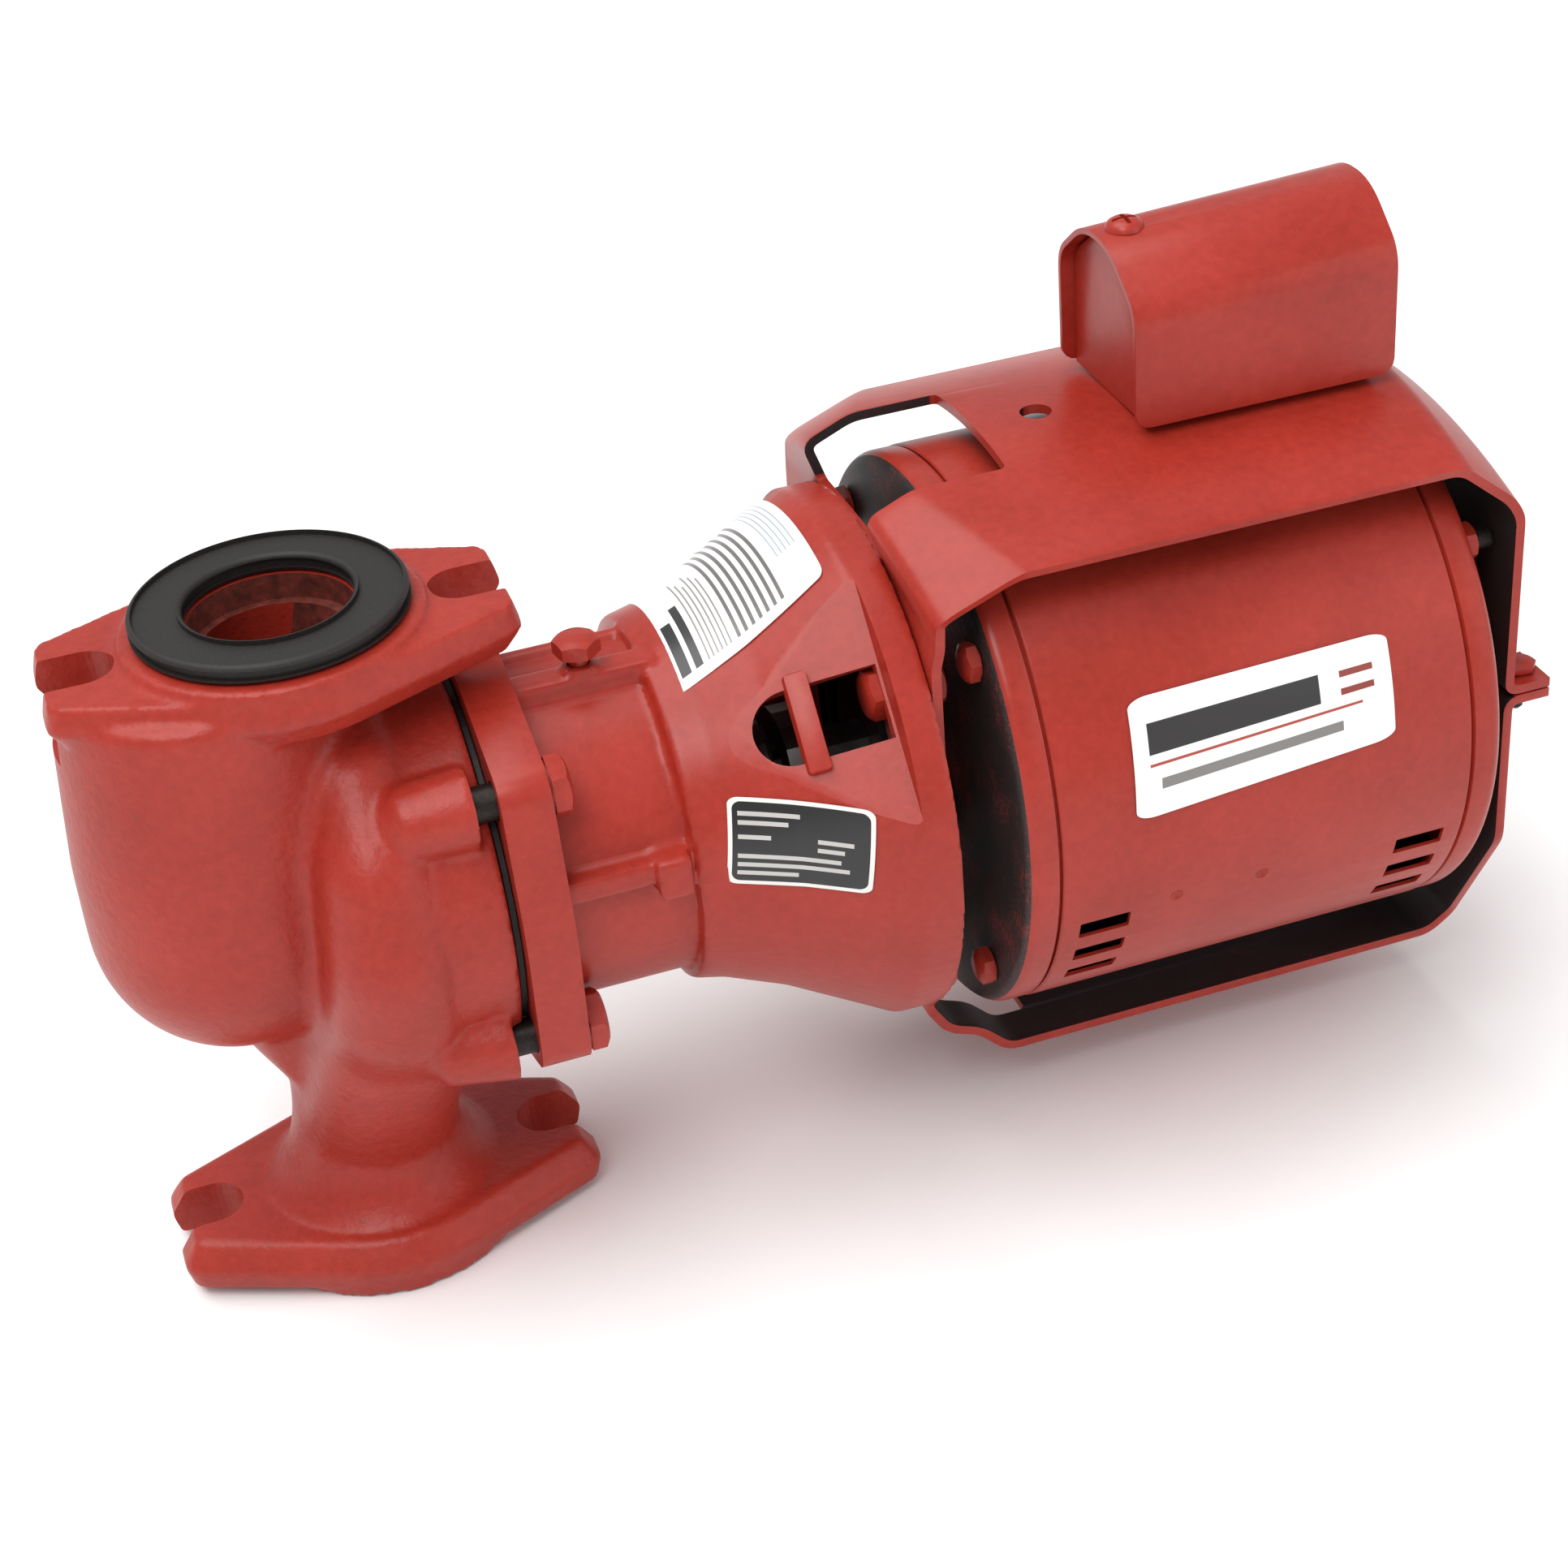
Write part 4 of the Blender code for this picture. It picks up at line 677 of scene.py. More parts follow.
# %% Bracket casting
near_tools, far_tools = window(WINDOW_TURN), window(-WINDOW_TURN)
under = hull("under_facet", [
    at_window(180, x, y, z) for y in (-40, 40) for x, z in ((90, 46.5), (121, 55.2), (121, 90), (90, 90))
])
bracket = gathered("bracket", [bracket_shell, *extras])
cast(bracket, 0.85, 2)
carved(bracket, [*near_tools[:2], *far_tools[:2], under])
for joined in (bolted_plate, near_tools[2], far_tools[2]):
    combined(bracket, joined, "UNION")
bracket_cuts = [
    rod("seal_bore", (30, 0, SHAFT), (44.3, 0, SHAFT), 15, 64),
    rod("bearing_bore", (40, 0, SHAFT), (80, 0, SHAFT), 10, 64),
    rod("oil_hole", (OIL_X, OIL_Y, SHAFT + 20), (OIL_X, OIL_Y, rail_top + 6), 2.6, 24),
]
bracket_cuts += [bolt_hole(BOLT_CIRCLE, angle, 30, 50, 4.4) for angle in CASING_BOLTS]
bracket_cuts += [bolt_hole(RIM_CIRCLE, angle, 119, 130, 3.4) for angle in RIM_BOLTS]
carved(bracket, bracket_cuts)
bracket.name = "bracket_casting"
finished(bracket, enamel_on_machined, ["bearing_bracket"], 24)

# %% [markdown]
# ## Rubber rings
# The upper flange carries a loose moulded gasket that stands proud until the pipe's flange squeezes it.
# Its edges come round out of the mould. The motor hangs in two more rings of the same rubber.

# %% Gasket and resilient rings
def rounded_ring(name, start, end, inner, outer, rounding, axis="X", centre=(0, 0, SHAFT), sides=128):
    """A ring with a round edge on all four corners of its section."""
    steps = 5
    outline = []
    for (along, radius), (sa, sr) in zip(
        [(start, inner), (start, outer), (end, outer), (end, inner)], [(1, 1), (1, -1), (-1, -1), (-1, 1)]
    ):
        arc = []
        for i in range(steps + 1):
            turn = math.pi / 2 * i / steps
            arc.append((
                along + sa * rounding * (1 - math.sin(turn)),
                radius + sr * rounding * (1 - math.cos(turn)),
            ))
        outline += arc if sa * sr < 0 else arc[::-1]
    return turned(name, outline, sides, axis, centre)


gasket = rounded_ring(
    "flange_gasket_rubber", FACE_TO_FACE + 0.3, FACE_TO_FACE + 4.7, PORT, 29.5, 1.1, "Z", (0, 0, 0))
finished(gasket, moulded_rubber, ["upper_flange_gasket"], 60)
FRONT_PLATE, REAR_PLATE = 129.0, 266.2
for name, plate in (("front", FRONT_PLATE), ("rear", REAR_PLATE)):
    ring = rounded_ring(f"{name}_ring_rubber", plate - 3.4, plate + 3.4, 19.3, 29.7, 1.5)
    finished(ring, moulded_rubber, [f"{name}_resilient_ring"], 60)

# %% [markdown]
# ## Screws and nuts
# Hex heads are forged with a round chamfer that cuts their corners, and a thin washer face below. The
# chamfer is a cone met with the hexagon. All heads are painted over with the rest, so they are red too.

# %% Hex heads, screws and nuts
def hexagon(name, flats, height, bore=0.0):
    """A hex head standing on Z, its chamfer rounding off the top corners."""
    corner = flats / math.cos(math.pi / 6)
    prism = rod(name, (0, 0, 0.35), (0, 0, height), corner, 6)
    if bore:
        carved(prism, [rod("bore", (0, 0, -1), (0, 0, height + 1), bore, 32)])
    top = height + 0.05
    outline = [(-1, 0), (-1, corner + 1), (height - 1.1, corner + 0.05), (top, corner - 1.75), (top, 0)]
    chamfer = turned("chamfer", outline, 64, "Z", (0, 0, 0), closed=False)
    combined(prism, chamfer, "INTERSECT")
    washer = turned("washer_face", [(0, bore), (0, flats * 0.97), (0.45, flats * 0.97), (0.45, bore)], 48, "Z",
                    (0, 0, 0), closed=bool(bore))
    return softened(gathered(name, [prism, washer]), 0.22, 2, 40)


def stood(obj, at, direction, turn=0.0):
    obj.data.transform(placed(at, direction, turn))
    return obj


def screw(name, seat, direction, flats, height, radius, length, node, turn, body="pump_body", painted_over=False):
    """A hex screw seated at a place. Its shank gets the near-black finish, partly painted shade, unless it is
    painted over with the head.
    """
    head = hexagon(name, flats, height)
    outline = [(0.3, 0), (0.3, radius), (0.8 - length, radius), (-length, radius - 0.7), (-length, 0)]
    shank = turned("shank", outline, 32, "Z", (0, 0, 0), closed=False)
    made = stood(gathered(name, [head, shank]), seat, direction, turn)
    finished(made, [enamel_on_steel, shank_dark_steel_and_gap_shade], [node], 35, body)
    if not painted_over:
        # Painted shade: the shank below the seat gets the near-black finish of the gaps.
        second_finish(made, lambda at, _: (at - Vector(seat)).dot(Vector(direction)) < 0.1)


def nut(name, seat, direction, flats, height, bore, node, turn):
    finished(stood(hexagon(name, flats, height, bore), seat, direction, turn), enamel_on_steel, [node], 35)


BACK, FORWARD = (1, 0, 0), (-1, 0, 0)
for i, angle in enumerate(CASING_BOLTS, 1):
    seat = around(BOLT_CIRCLE, angle, PLATE_REAR + 0.3)
    screw(f"cap_screw_{i}", seat, BACK, 6.2, 4.6, 4, 32, f"casing_bolt_{i}", angle)
for i, angle in enumerate(RIM_BOLTS, 1):
    seat = around(RIM_CIRCLE, angle, 120.9)
    screw(f"rim_screw_{i}", seat, FORWARD, 5.2, 4.2, 3, 14.5, f"bracket_bolt_{i}", angle)
    nut(f"rim_nut_{i}", around(RIM_CIRCLE, angle, 130.4), BACK, 5.2, 4, 3.3, f"bracket_nut_{i}", angle)
    seat = around(TIE_CIRCLE, angle, 140.6)
    screw(f"tie_rod_{i}", seat, FORWARD, 4, 3.6, 2.4, 123.3, f"through_bolt_{i}", angle)
    nut(f"tie_nut_{i}", around(TIE_CIRCLE, angle, 255.5), BACK, 4, 4, 2.7, f"through_bolt_nut_{i}", angle)

# %% [markdown]
# The oil cap is a small hex plug on the bracket's rail. It unscrews, so it stays a piece of its own.

# %% Oil cap
screw("oil_cap_plug", (OIL_X, OIL_Y, rail_top + 3.9), (0, 0, 1), 4.6, 4.2, 2.2, 9, "oil_cap", 12,
      "oil_cap", painted_over=True)

# %% [markdown]
# ## The motor
# A rolled steel shell sits between two pressed end bells and four long tie rods. It has three cooling
# slots at each end on both lower sides, and two dimples that stake the core. Its edges are turned in where
# they meet the bells, which draws a thin shadow round the motor.

# %% Motor shell with cooling slots
FRONT_SEAM, REAR_SEAM = 148.9, 247.2
MOTOR = 65.8
TURNED_IN = ((0, 0.9), (0, 0.5), (0.3, 0.12), (0.8, 0))  # from the seam, and in from the shell
front_edge = [(FRONT_SEAM + along, MOTOR - in_by) for along, in_by in TURNED_IN]
rear_edge = [(REAR_SEAM - along, MOTOR - in_by) for along, in_by in reversed(TURNED_IN)]
shell = turned("motor_skin", front_edge + rear_edge, 192)
slots = []
for first in (153.5, 230.6):
    for angle in (108.1, 116.6, 125.4):
        for side in (-1, 1):
            slots.append(slab("slot", (first, -2.5, MOTOR - 5), (first + 12, 2.5, MOTOR + 3), 0.4))
            slots[-1].data.transform(about_shaft(side * angle))
for x, angle in ((176.3, 104.7), (197.1, 105)):
    slots.append(hull("dimple", ball(around(MOTOR + 1.2, angle, x), 2.0)))
carved(shell, slots)
finished(shell, enamel_on_steel, ["motor_shell"], 32)

# %% [markdown]
# The end bells are drawn from thicker sheet. Each is a shallow dish with a rounded shoulder, a step where
# the shell laps over it, and a long hub in the middle that sits in the rubber ring.

# %% End bells
def bell(name, edge, seam, outward, bore):
    """A dish from its seam with the shell to its flat edge. outward is -1 in front and 1 behind."""
    rim = MOTOR - 0.2
    shoulder = []
    for i in range(9):
        turn = math.pi / 2 * i / 8
        shoulder.append((edge - outward * 3.0 * (1 - math.sin(turn)), rim - 3.0 * (1 - math.cos(turn))))
    hub = edge + outward * 14
    lip = seam - outward * 2.0
    outline = [(lip, rim - 1.3), (seam, rim - 1.3), (seam + outward * 0.6, rim - 0.1), (seam + outward * 1.0, rim)]
    outline += shoulder
    outline += [
        (edge, 52), (edge, 46), (edge + outward * 0.1, 30), (edge + outward * 0.8, 22.5),
        (edge + outward * 2.4, 19.2), (hub - outward, 19), (hub, 18),
    ]
    outline += [(hub, bore), (hub - outward * 2.5, bore), (hub - outward * 2.5, 10)]
    sleeve = hub - outward * 20.1
    outline += [(sleeve, 10), (sleeve, 13.5), (edge - outward * 2.5, 16), (edge - outward * 2.5, rim - 3.8),
                (lip, rim - 3.8)]
    if not bore:
        start = outline.index((hub, bore)) + 1
        outline = outline[start:] + outline[:start]
    made = turned(name, outline, 160, closed=bool(bore))
    return carved(made, [bolt_hole(TIE_CIRCLE, angle, edge - 12, edge + 12, 2.8) for angle in RIM_BOLTS])


MOTOR_FRONT, MOTOR_REAR = 140.9, 255.2
SEAM_GAP = 0.3
for name, edge, seam, outward, bore in (
    ("front", MOTOR_FRONT, FRONT_SEAM - SEAM_GAP, -1, 7), ("rear", MOTOR_REAR, REAR_SEAM + SEAM_GAP, 1, 0)
):
    made = bell(f"{name}_bell_dish", edge, seam, outward, bore)
    finished(made, [enamel_on_steel, bell_face_painted_shade], [f"{name}_end_bell"], 40)
    if name == "front":
        # Painted shade: the faces that look forward, into the narrow gap behind the cradle's front plate, get the
        # darkened finish.
        second_finish(made, lambda _, outward: outward.x < -0.75)

# %% [markdown]
# ## The cradle
# A strip of sheet steel is folded over the motor and another below it. The outside is red, and the inside
# is darkened as painted shade. Each piece is drawn as its middle line from front to back with a half width, then
# thickened. The upper one is crowned like the motor, has a hand window at the front and a cable hole.

# %% Folded sheet
SHEET = 2.2
CROWN = 118.0  # the radius of the upper piece's crown, across the motor
FOLD_REACH, FOLD_SHARE = 7.0, 0.42  # a fold takes this share of its shorter side, up to a limit


def bend(before, here, after, reach, steps):
    """Points round a fold, which starts and ends this far from the corner."""
    one = here + (before - here).normalized() * reach
    two = here + (after - here).normalized() * reach
    shares = [i / steps for i in range(steps + 1)]
    return [one * (1 - t) ** 2 + here * 2 * t * (1 - t) + two * t ** 2 for t in shares]


def folded(name, profile, columns=33):
    """Rows of (x, shift at the sides, z, share of crown, half width), joined and rounded at each fold."""
    rows = [Vector(row) for row in profile]
    smooth = [rows[0]]
    for before, here, after in zip(rows, rows[1:], rows[2:]):
        reach = min((here - before).length, (after - here).length, FOLD_REACH) * FOLD_SHARE
        smooth += bend(before, here, after, reach, 5)
    smooth.append(rows[-1])
    bm = bmesh.new()
    bmesh.ops.create_grid(bm, x_segments=columns - 1, y_segments=len(smooth) - 1, size=1)
    bm.verts.ensure_lookup_table()
    for vert in bm.verts:
        across = vert.co.x
        x, shift, z, share, half = smooth[round((vert.co.y + 1) / 2 * (len(smooth) - 1))]
        y = across * half
        vert.co = (x + shift * across * across, y, z - share * y * y / (2 * CROWN))
    return thickened(to_object(name, bm), SHEET, 0)


print("folded sheet tool ready")

# %% Upper and lower cradle
TOP = 169.4
LUG_TOP, LUG_LOW = 98.6, 95.9
LUG_X, LUG_HOLE = 272.1, 42.5
upper = folded("cradle_upper", [
    (129, 0, SHAFT + 0.3, 0, 47), (129, 0, TOP - 30, 0, 47.5), (129.6, 0, TOP - 16.4, 0.8, 49),
    (125, 5, TOP - 5, 1.3, 49), (134, 14, TOP - 1.1, 1, 49), (180.9, 0, TOP - 1.1, 1, 49),
    (251.2, 0, TOP - 1.1, 1, 49), (263.7, 0, TOP - 12.5, 0.9, 49), (266.2, 0, TOP - 18, 0.8, 49),
    (266.2, 0, LUG_TOP, 0, 49), (276.6, 0, LUG_TOP, 0, 49),
])
lower = folded("cradle_lower", [
    (129, 0, SHAFT - 0.3, 0, 47), (129, 0, 58, 0, 47), (129, 0, 37, 0, 28), (134, 0, 29, 0, 28),
    (141.9, 0, 26, 0, 28), (148.9, 0, 19, 0, 28), (261.2, 0, 19, 0, 28), (266.2, 0, 25, 0, 30),
    (266.2, 0, 58, 0, 49), (266.2, 0, LUG_LOW, 0, 49), (276.6, 0, LUG_LOW, 0, 49),
])
carved(upper, [
    slab("window", (90, -19.5, TOP - 17), (157.5, 23, TOP + 20), 1.4),
    rod("cable_hole", (172.5, 0, TOP - 20), (172.5, 0, TOP + 20), 3.6, 40),
])
carved(lower, [slab("lower_window", (131.4, -17, 9), (157.5, 17, 39), 1.4)])
for piece in (upper, lower):
    tools = [
        rod("front_hole", (124, 0, SHAFT), (134, 0, SHAFT), 30.3, 96),
        rod("rear_hole", (261, 0, SHAFT), (271, 0, SHAFT), 30.3, 96),
        slab("lug_gap", (268.4, -36, SHAFT - 30), (300, 36, SHAFT + 30), 0.8),
    ]
    for angle in RIM_BOLTS:
        if (around(RIM_CIRCLE, angle).z > SHAFT) == (piece is upper):
            tools.append(bolt_hole(RIM_CIRCLE, angle, 124, 134, 3.4))
    for y in (-LUG_HOLE, LUG_HOLE):
        tools.append(rod("lug_hole", (LUG_X, y, 87), (LUG_X, y, 110), 2.1, 24))
    carved(piece, tools)
    softened(piece, 0.35, 2, 50)
print("cradle pieces:", len(upper.data.polygons), len(lower.data.polygons))

# %% [markdown]
# The painted shade inside is a second finish, on the faces that point back towards the motor's middle.

# %% Finish of the cradle
MIDDLE = Vector((198, 0, SHAFT))
for piece, node in ((upper, "cradle_top"), (lower, "cradle_base")):
    finished(piece, [enamel_on_steel, cradle_inner_painted_shade], [node], 40)
    # Painted shade: faces that look inwards, towards the motor, get the darkened finish.
    second_finish(piece, lambda at, outward: outward.dot((at - MIDDLE).normalized()) < -0.2)
for side, y in (("near", -LUG_HOLE), ("far", LUG_HOLE)):
    above, below = (LUG_X, y, LUG_TOP + 1.4), (LUG_X, y, LUG_LOW - 1.4)
    screw(f"clamp_bolt_{side}", above, (0, 0, 1), 3.7, 2.4, 1.7, 10.4, f"clamp_screw_{side}", 20)
    nut(f"clamp_hex_{side}", below, (0, 0, -1), 3.7, 2.4, 2.0, f"clamp_nut_{side}", 8)

# %% [markdown]
# ## The junction box
# The supply cable is joined under a bent sheet cover with a rounded ridge, held by one screw. It overhangs
# the end plates, which gives its front a deep shadow line, and its ridge rises a little towards the rear.

# %% Cover
BOX_FRONT, BOX_REAR = 187.4, 249.4
BOX_HALF = 20.7
BOX_LOW = TOP + 0.8
BOX_SHEET = 1.3
RIDGE, REAR_RISE = 207.2, 2.9
COVER_SCREW_X = 194.4


def ridge(half, low, shoulder, high):
    """Up one side, over the ridge and down, as (y, z), with rounded bends."""
    flat = half * 0.34
    corners = [(-half, low), (-half, shoulder), (-flat, high), (flat, high), (half, shoulder), (half, low)]
    corners = [Vector(corner) for corner in corners]
    points = [corners[0]]
    for before, here, after, reach in zip(corners, corners[1:], corners[2:], (4.2, 6.2, 6.2, 4.2)):
        points += bend(before, here, after, reach, 8)
    return points + [corners[-1]]


bm = bmesh.new()
front_row = [bm.verts.new((BOX_FRONT, y, z)) for y, z in ridge(BOX_HALF - BOX_SHEET / 2, BOX_LOW, 197.0, RIDGE)]
front_edges = [bm.edges.new(pair) for pair in zip(front_row, front_row[1:])]
moved = bmesh.ops.extrude_edge_only(bm, edges=front_edges)["geom"]
rear_row = [item for item in moved if isinstance(item, bmesh.types.BMVert)]
bmesh.ops.translate(bm, vec=(BOX_REAR - BOX_FRONT, 0, 0), verts=rear_row)
for vert in rear_row:
    lift = (vert.co.z - BOX_LOW) / (RIDGE - BOX_LOW)
    vert.co.z += REAR_RISE * max(lift, 0) ** 1.5
low_corners = [vert for vert in bm.verts if vert.co.z < BOX_LOW + 0.01]
bmesh.ops.bevel(bm, geom=low_corners, offset=3.5, segments=4, profile=0.5, affect="VERTICES", material=-1)
cover = thickened(to_object("box_cover_sheet", bm), BOX_SHEET, 0)
carved(cover, [rod("screw_hole", (COVER_SCREW_X, 0, 190), (COVER_SCREW_X, 0, 212), 2.1, 32)])
softened(cover, 0.4, 3, 50)
finished(cover, enamel_on_steel, ["junction_box_cover"], 40, "box_cover")

# %% [markdown]
# Inside the cover, a folded tray carries the two end plates and a tab with the screw's thread. The end
# plates stand a few millimetres inside the cover's ends.

# %% Tray, end plates and screw
tray_parts = [slab("floor", (190.6, -19.1, TOP + 0.3), (246.2, 19.1, TOP + 1.6), 0.3)]
for x, rise in ((190.6, 0.1), (244.9, 2.6)):
    outline = ridge(19.1, TOP + 0.3, 196.2 + rise * 0.4, 205.6 + rise)
    plate = hull("end_plate", [(at, y, z) for at in (x, x + BOX_SHEET) for y, z in outline])
    tray_parts.append(softened(plate, 0.25, 2, 50))
tray_parts.append(slab("tab", (190.6, -5.5, 203.2), (199.4, 5.5, 204.8), 0.3))
tray = gathered("box_tray", tray_parts)
carved(tray, [rod("thread", (COVER_SCREW_X, 0, 196), (COVER_SCREW_X, 0, 212), 2.1, 32)])
finished(tray, enamel_on_steel, ["junction_box_base"], 40)

SCREW_SEAT = 208.0
pan = turned("cover_screw_pan", [
    (2.4, 0), (2.35, 1.4), (2.1, 2.6), (1.5, 3.6), (0.7, 4.15), (0, 4.3), (0, 1.7), (-8, 1.7), (-8, 0),
], 64, "Z", (COVER_SCREW_X, 0, SCREW_SEAT), closed=False)
carved(pan, [
    slab("cross_one", (191.6, -0.5, SCREW_SEAT + 0.9), (197.2, 0.5, SCREW_SEAT + 4), 0.1),
    slab("cross_two", (193.9, -2.8, SCREW_SEAT + 0.9), (194.9, 2.8, SCREW_SEAT + 4), 0.1),
])
finished(pan, enamel_on_steel, ["cover_screw"], 30, "box_cover")

# %% [markdown]
# ## Stickers
# Three film labels wrap the curved faces: a white one over the top of the cone, a black one with a white
# border on its side, and a white one on the motor. Plain bars stand for print, with no words or marks. They
# are drawn by the label's own coordinates, which run from one edge to the other.

# %% Label films
def bordered(tree, layout, field, wide, high, margin, rounding, code):
    """Keeps the field inside a rounded rectangle and shows a border colour round it, in mm."""
    vector = "ShaderNodeVectorMath"
    centred = add(tree, vector, {0: layout, 1: (0.5, 0.5, 0)}, operation="SUBTRACT")
    sized = add(tree, vector, {0: centred, 1: (wide, high, 0)}, operation="MULTIPLY")
    quarter = add(tree, vector, {0: sized}, operation="ABSOLUTE")
    core = (wide / 2 - margin - rounding, high / 2 - margin - rounding, 0)
    past = add(tree, vector, {0: quarter, 1: core}, operation="SUBTRACT")
    outside = add(tree, vector, {0: past, 1: (0, 0, 0)}, operation="MAXIMUM")
    reach = add(tree, vector, {0: outside}, operation="LENGTH", out="Value")
    beyond = add(tree, "ShaderNodeMath", {0: reach, 1: rounding}, operation="GREATER_THAN")
    return add(tree, "ShaderNodeMix", {0: beyond, 6: field, 7: code}, data_type="RGBA", out=2)


def label_film(name, paper, bars, border=None):
    """A satin film with printed bars, given as (left, right, low, high, hex) on the unit square."""
    made, tree, shader = blank(name, Roughness=0.32, IOR=1.45, Coat_Weight=0.3, Coat_Roughness=0.2)
    layout = add(tree, "ShaderNodeUVMap", uv_map="label")
    axes = {axis: add(tree, "ShaderNodeSeparateXYZ", {"Vector": layout}, out=axis) for axis in "XY"}
    place = add(tree, "ShaderNodeTexCoord", out="Object")
    worn = add(tree, "ShaderNodeTexNoise", noise(place, 14))
    colour = add(tree, "ShaderNodeValToRGB", {"Fac": worn}, [(0.3, paper[0]), (0.7, paper[1])])
    if border:
        colour = bordered(tree, layout, colour, *border)
    for left, right, low, high, code in bars:
        inside = 1.0
        for axis, limit, test in (("X", left, "GREATER_THAN"), ("X", right, "LESS_THAN"),
                                  ("Y", low, "GREATER_THAN"), ("Y", high, "LESS_THAN")):
            passed = add(tree, "ShaderNodeMath", {0: axes[axis], 1: limit}, operation=test)
            inside = add(tree, "ShaderNodeMath", {0: inside, 1: passed}, operation="MULTIPLY")
        colour = add(tree, "ShaderNodeMix", {0: inside, 6: colour, 7: code}, data_type="RGBA", out=2)
    dressed(tree, shader, colour, worn, 0.03)
    return made


FILM = 0.2  # mm
FILM_LIFT = 0.3  # mm between the casting and the back of a film, so that no corner sinks into the paint


def sticker(name, corners, radius_at, film, corner_share, across=60, along=44):
    """A film on a turned face. corners are (x, degrees) at the layout's four corners, counter-clockwise."""
    bm = bmesh.new()
    bmesh.ops.create_grid(bm, x_segments=across, y_segments=along, size=1)
    core = 1 - corner_share
    for vert in bm.verts:
        u, v = vert.co.xy
        over_u, over_v = abs(u) - core, abs(v) - core
        if over_u > 0 and over_v > 0:
            shrink = max(over_u, over_v) / math.hypot(over_u, over_v)
            u, v = math.copysign(core + over_u * shrink, u), math.copysign(core + over_v * shrink, v)
        vert.co = ((u + 1) / 2, (v + 1) / 2, 0)
    layer = bm.loops.layers.uv.new("label")
    for face in bm.faces:
        for loop in face.loops:
            loop[layer].uv = loop.vert.co.xy
    low_left, low_right, high_right, high_left = (Vector(corner) for corner in corners)
    for vert in bm.verts:
        u, v = vert.co.xy
        x, turn = (low_left * (1 - u) + low_right * u) * (1 - v) + (high_left * (1 - u) + high_right * u) * v
        vert.co = around(radius_at(x) + FILM_LIFT, turn, x)
    made = thickened(to_object(name, bm), FILM, 1, even=False)
    return finished(made, film, (), 50)


def cone_radius(x):
    """The cone's outside radius at a place along the shaft."""
    line = [(79.5, 42.4), (81, 43.2), (95.8, 49.4), (117, 60.9), (118.6, 61.8), (127, 61.8)]
    for (xa, ra), (xb, rb) in zip(line, line[1:]):
        if x <= xb:
            return ra + (rb - ra) * max(x - xa, 0) / (xb - xa)
    return line[-1][1]


WHITE, OFF_WHITE, BLACK = "#F2F1EE", "#E9E7E3", "#1A1919"
instruction_bars = [(0.05, 0.115, 0.05, 0.34, "#242323"), (0.145, 0.195, 0.05, 0.42, "#2E2D2D")]
instruction_bars += [(0.23 + 0.03 * i, 0.24 + 0.03 * i, 0.05, 0.62 - 0.05 * (i % 3), "#8C8A88") for i in range(6)]
instruction_bars += [(0.43 + 0.05 * i, 0.452 + 0.05 * i, 0.05, 0.86 - 0.04 * (i % 2), "#6A6867") for i in range(7)]
instruction_bars += [(0.82 + 0.03 * i, 0.828 + 0.03 * i, 0.25, 0.9, "#A9B4BD") for i in range(5)]
instructions = label_film("white_instruction_film", (WHITE, OFF_WHITE), instruction_bars)
rating_bars = [(*bar, "#BDBAB6") for bar in (
    (0.07, 0.5, 0.80, 0.85), (0.07, 0.42, 0.70, 0.75), (0.07, 0.3, 0.54, 0.59), (0.62, 0.86, 0.54, 0.59),
    (0.62, 0.80, 0.44, 0.49), (0.07, 0.78, 0.32, 0.37), (0.07, 0.84, 0.22, 0.27), (0.07, 0.5, 0.12, 0.17),
)]
rating = label_film("black_rating_film", (BLACK, "#201F1F"), rating_bars, (29, 20, 0.9, 1.8, "#E4E2DE"))
motor_bars = [
    (0.06, 0.72, 0.52, 0.78, "#2E2C2C"), (0.06, 0.88, 0.42, 0.445, "#A8453A"), (0.10, 0.80, 0.22, 0.31, "#7C7977"),
    (0.80, 0.93, 0.54, 0.60, "#8A3A30"), (0.80, 0.93, 0.70, 0.76, "#8A3A30"),
]
motor_film = label_film("white_motor_film", (WHITE, OFF_WHITE), motor_bars)
sticker(
    "instruction_sticker", [(79.8, 29.5), (115.2, 18), (114.6, -34), (79.8, -46)], cone_radius, instructions, 0.08)
sticker("rating_sticker", [(80.2, 87), (108.4, 90.5), (111.2, 71), (83.2, 61.5)], cone_radius, rating, 0.16)
sticker("motor_sticker", [(166, 84), (228, 80), (229, 59.5), (167.5, 60.5)], lambda x: MOTOR, motor_film, 0.16)

# %% [markdown]
# ## Inside pieces and other solids that stay as they are
# Pieces seen only through the windows, or not at all, keep their own solid and get a bare finish.

# %% Finishes of the kept solids
KEPT = (
    (cast_bronze, "impeller front_shaft_bearing rear_shaft_bearing front_motor_bearing rear_motor_bearing"),
    (turned_steel, "impeller_nut seal_spring pump_shaft motor_shaft"),
    (turned_steel, "coupler_pump_hub coupler_motor_hub coupler_spring"),
    (fired_ceramic, "seal_seat"), (lapped_carbon, "seal_head"), (oiled_felt, "oil_wick"),
    (laminations, "stator_core rotor_core"), (copper_wire, "front_winding rear_winding"),
    (lacquered_can, "capacitor"), (moulded_rubber, "body_gasket"),
)
for finish, names in KEPT:
    for name in names.split():
        node = frame["nodes"][name]
        node.data.materials.clear()
        node.data.materials.append(finish)
    print(finish.name, "on", names)

# %% [markdown]
# ## Studio
# The pump floats in a plain white room: a pale floor, one big soft light from above and the left, a
# weaker one from the right, and a pale sky that fills the shadows.

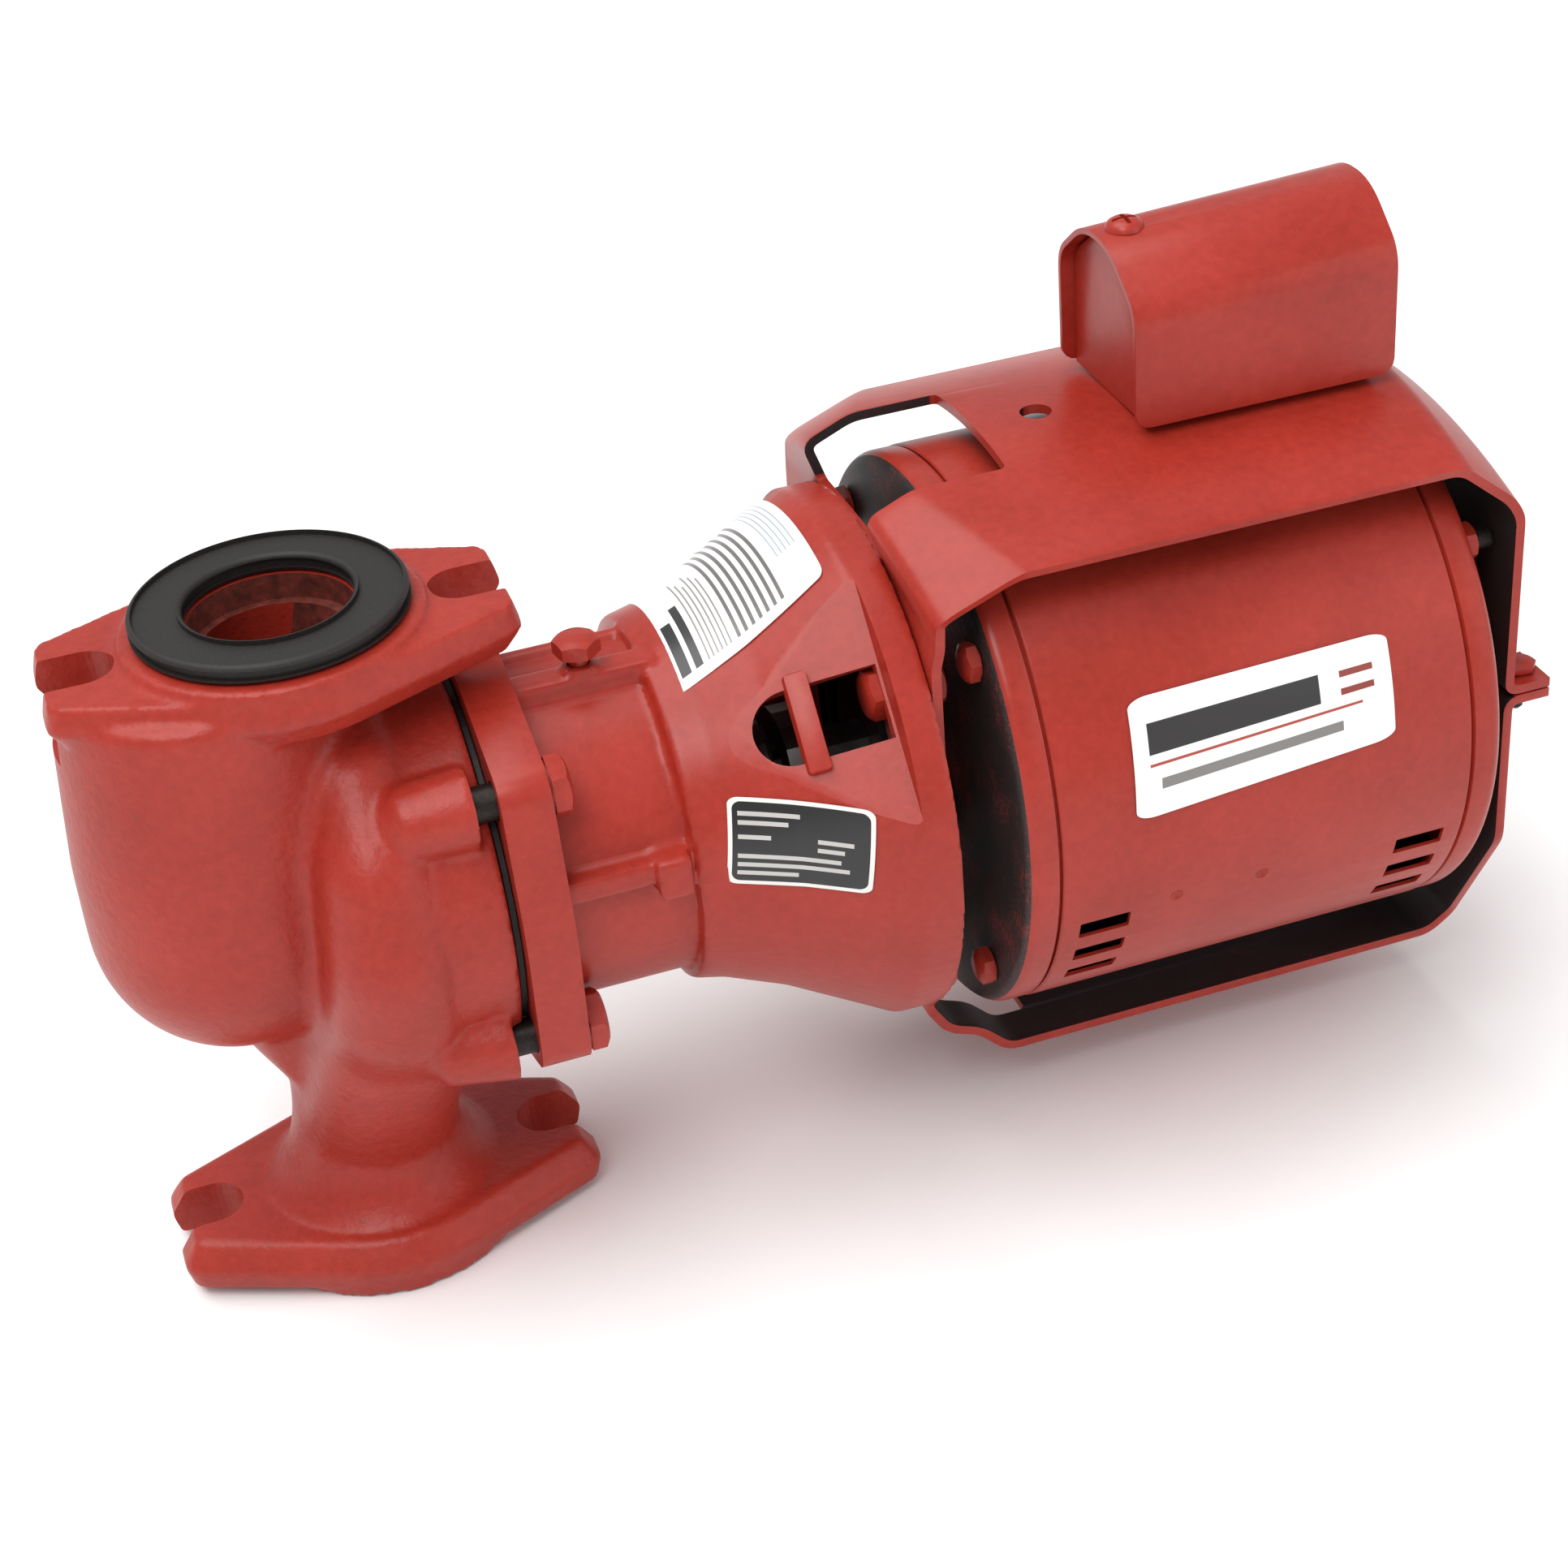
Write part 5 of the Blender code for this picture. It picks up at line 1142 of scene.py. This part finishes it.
# %% Floor, lights and camera
bm = bmesh.new()
bmesh.ops.create_grid(bm, x_segments=2, y_segments=2, size=9000)
floor = to_object("studio_floor", bm)
floor.data.transform(Matrix.Translation((0, 0, -0.5)))
floor.data.transform(Matrix.Scale(MM, 4))
studio, tree, shader = blank("pale_studio_paper", Roughness=0.9)
cloud = add(tree, "ShaderNodeTexNoise", noise(add(tree, "ShaderNodeTexCoord", out="Object"), 60, 2.0))
paper = add(tree, "ShaderNodeValToRGB", {"Fac": cloud}, [(0.3, "#F3F3F2"), (0.7, "#F8F8F7")])
tree.links.new(paper, shader.inputs["Base Color"])
floor.data.materials.append(studio)

world = bpy.data.worlds.new("pale_room")
scene.world = world
world.use_nodes = True
world.node_tree.nodes["Background"].inputs["Color"].default_value = tint("#F4F4F6")
world.node_tree.nodes["Background"].inputs["Strength"].default_value = 0.62


def lamp(name, at, target, size, power, colour="#FFFFFF"):
    light = bpy.data.lights.new(name, "AREA")
    light.shape = "DISK"
    light.size = size
    light.energy = power
    light.color = tint(colour)[:3]
    obj = bpy.data.objects.new(name, light)
    obj.matrix_world = Matrix.Translation(Vector(at)) @ (
        (Vector(at) - Vector(target)).to_track_quat("Z", "Y").to_matrix().to_4x4()
    )
    scene.collection.objects.link(obj)
    return obj


AIM = (0.11, 0, 0.1)
lamp("key", (-0.3, -0.6, 1.1), AIM, 0.6, 6)
lamp("fill", (0.95, -0.75, 0.5), AIM, 0.9, 2)
sky_light = bpy.data.lights.new("skylight", "SUN")
sky_light.energy = 1.9
sky_light.angle = math.radians(50)
skylight = bpy.data.objects.new("skylight", sky_light)
skylight.rotation_euler = (math.radians(-8), math.radians(-14), 0)
scene.collection.objects.link(skylight)

lens = bpy.data.cameras.new("studio_camera")
lens.lens = 65.015
lens.sensor_width = 36
camera = bpy.data.objects.new("studio_camera", lens)
right, up, back = (0.945, -0.3174, -0.0791), (0.2363, 0.4952, 0.836), (-0.2262, -0.8087, 0.543)
turn = Matrix((right, up, back)).transposed().to_4x4()
camera.matrix_world = Matrix.Translation((-0.0408, -0.5286, 0.4444)) @ turn
scene.collection.objects.link(camera)
scene.camera = camera
scene.view_settings.view_transform = "Standard"
print("studio ready")
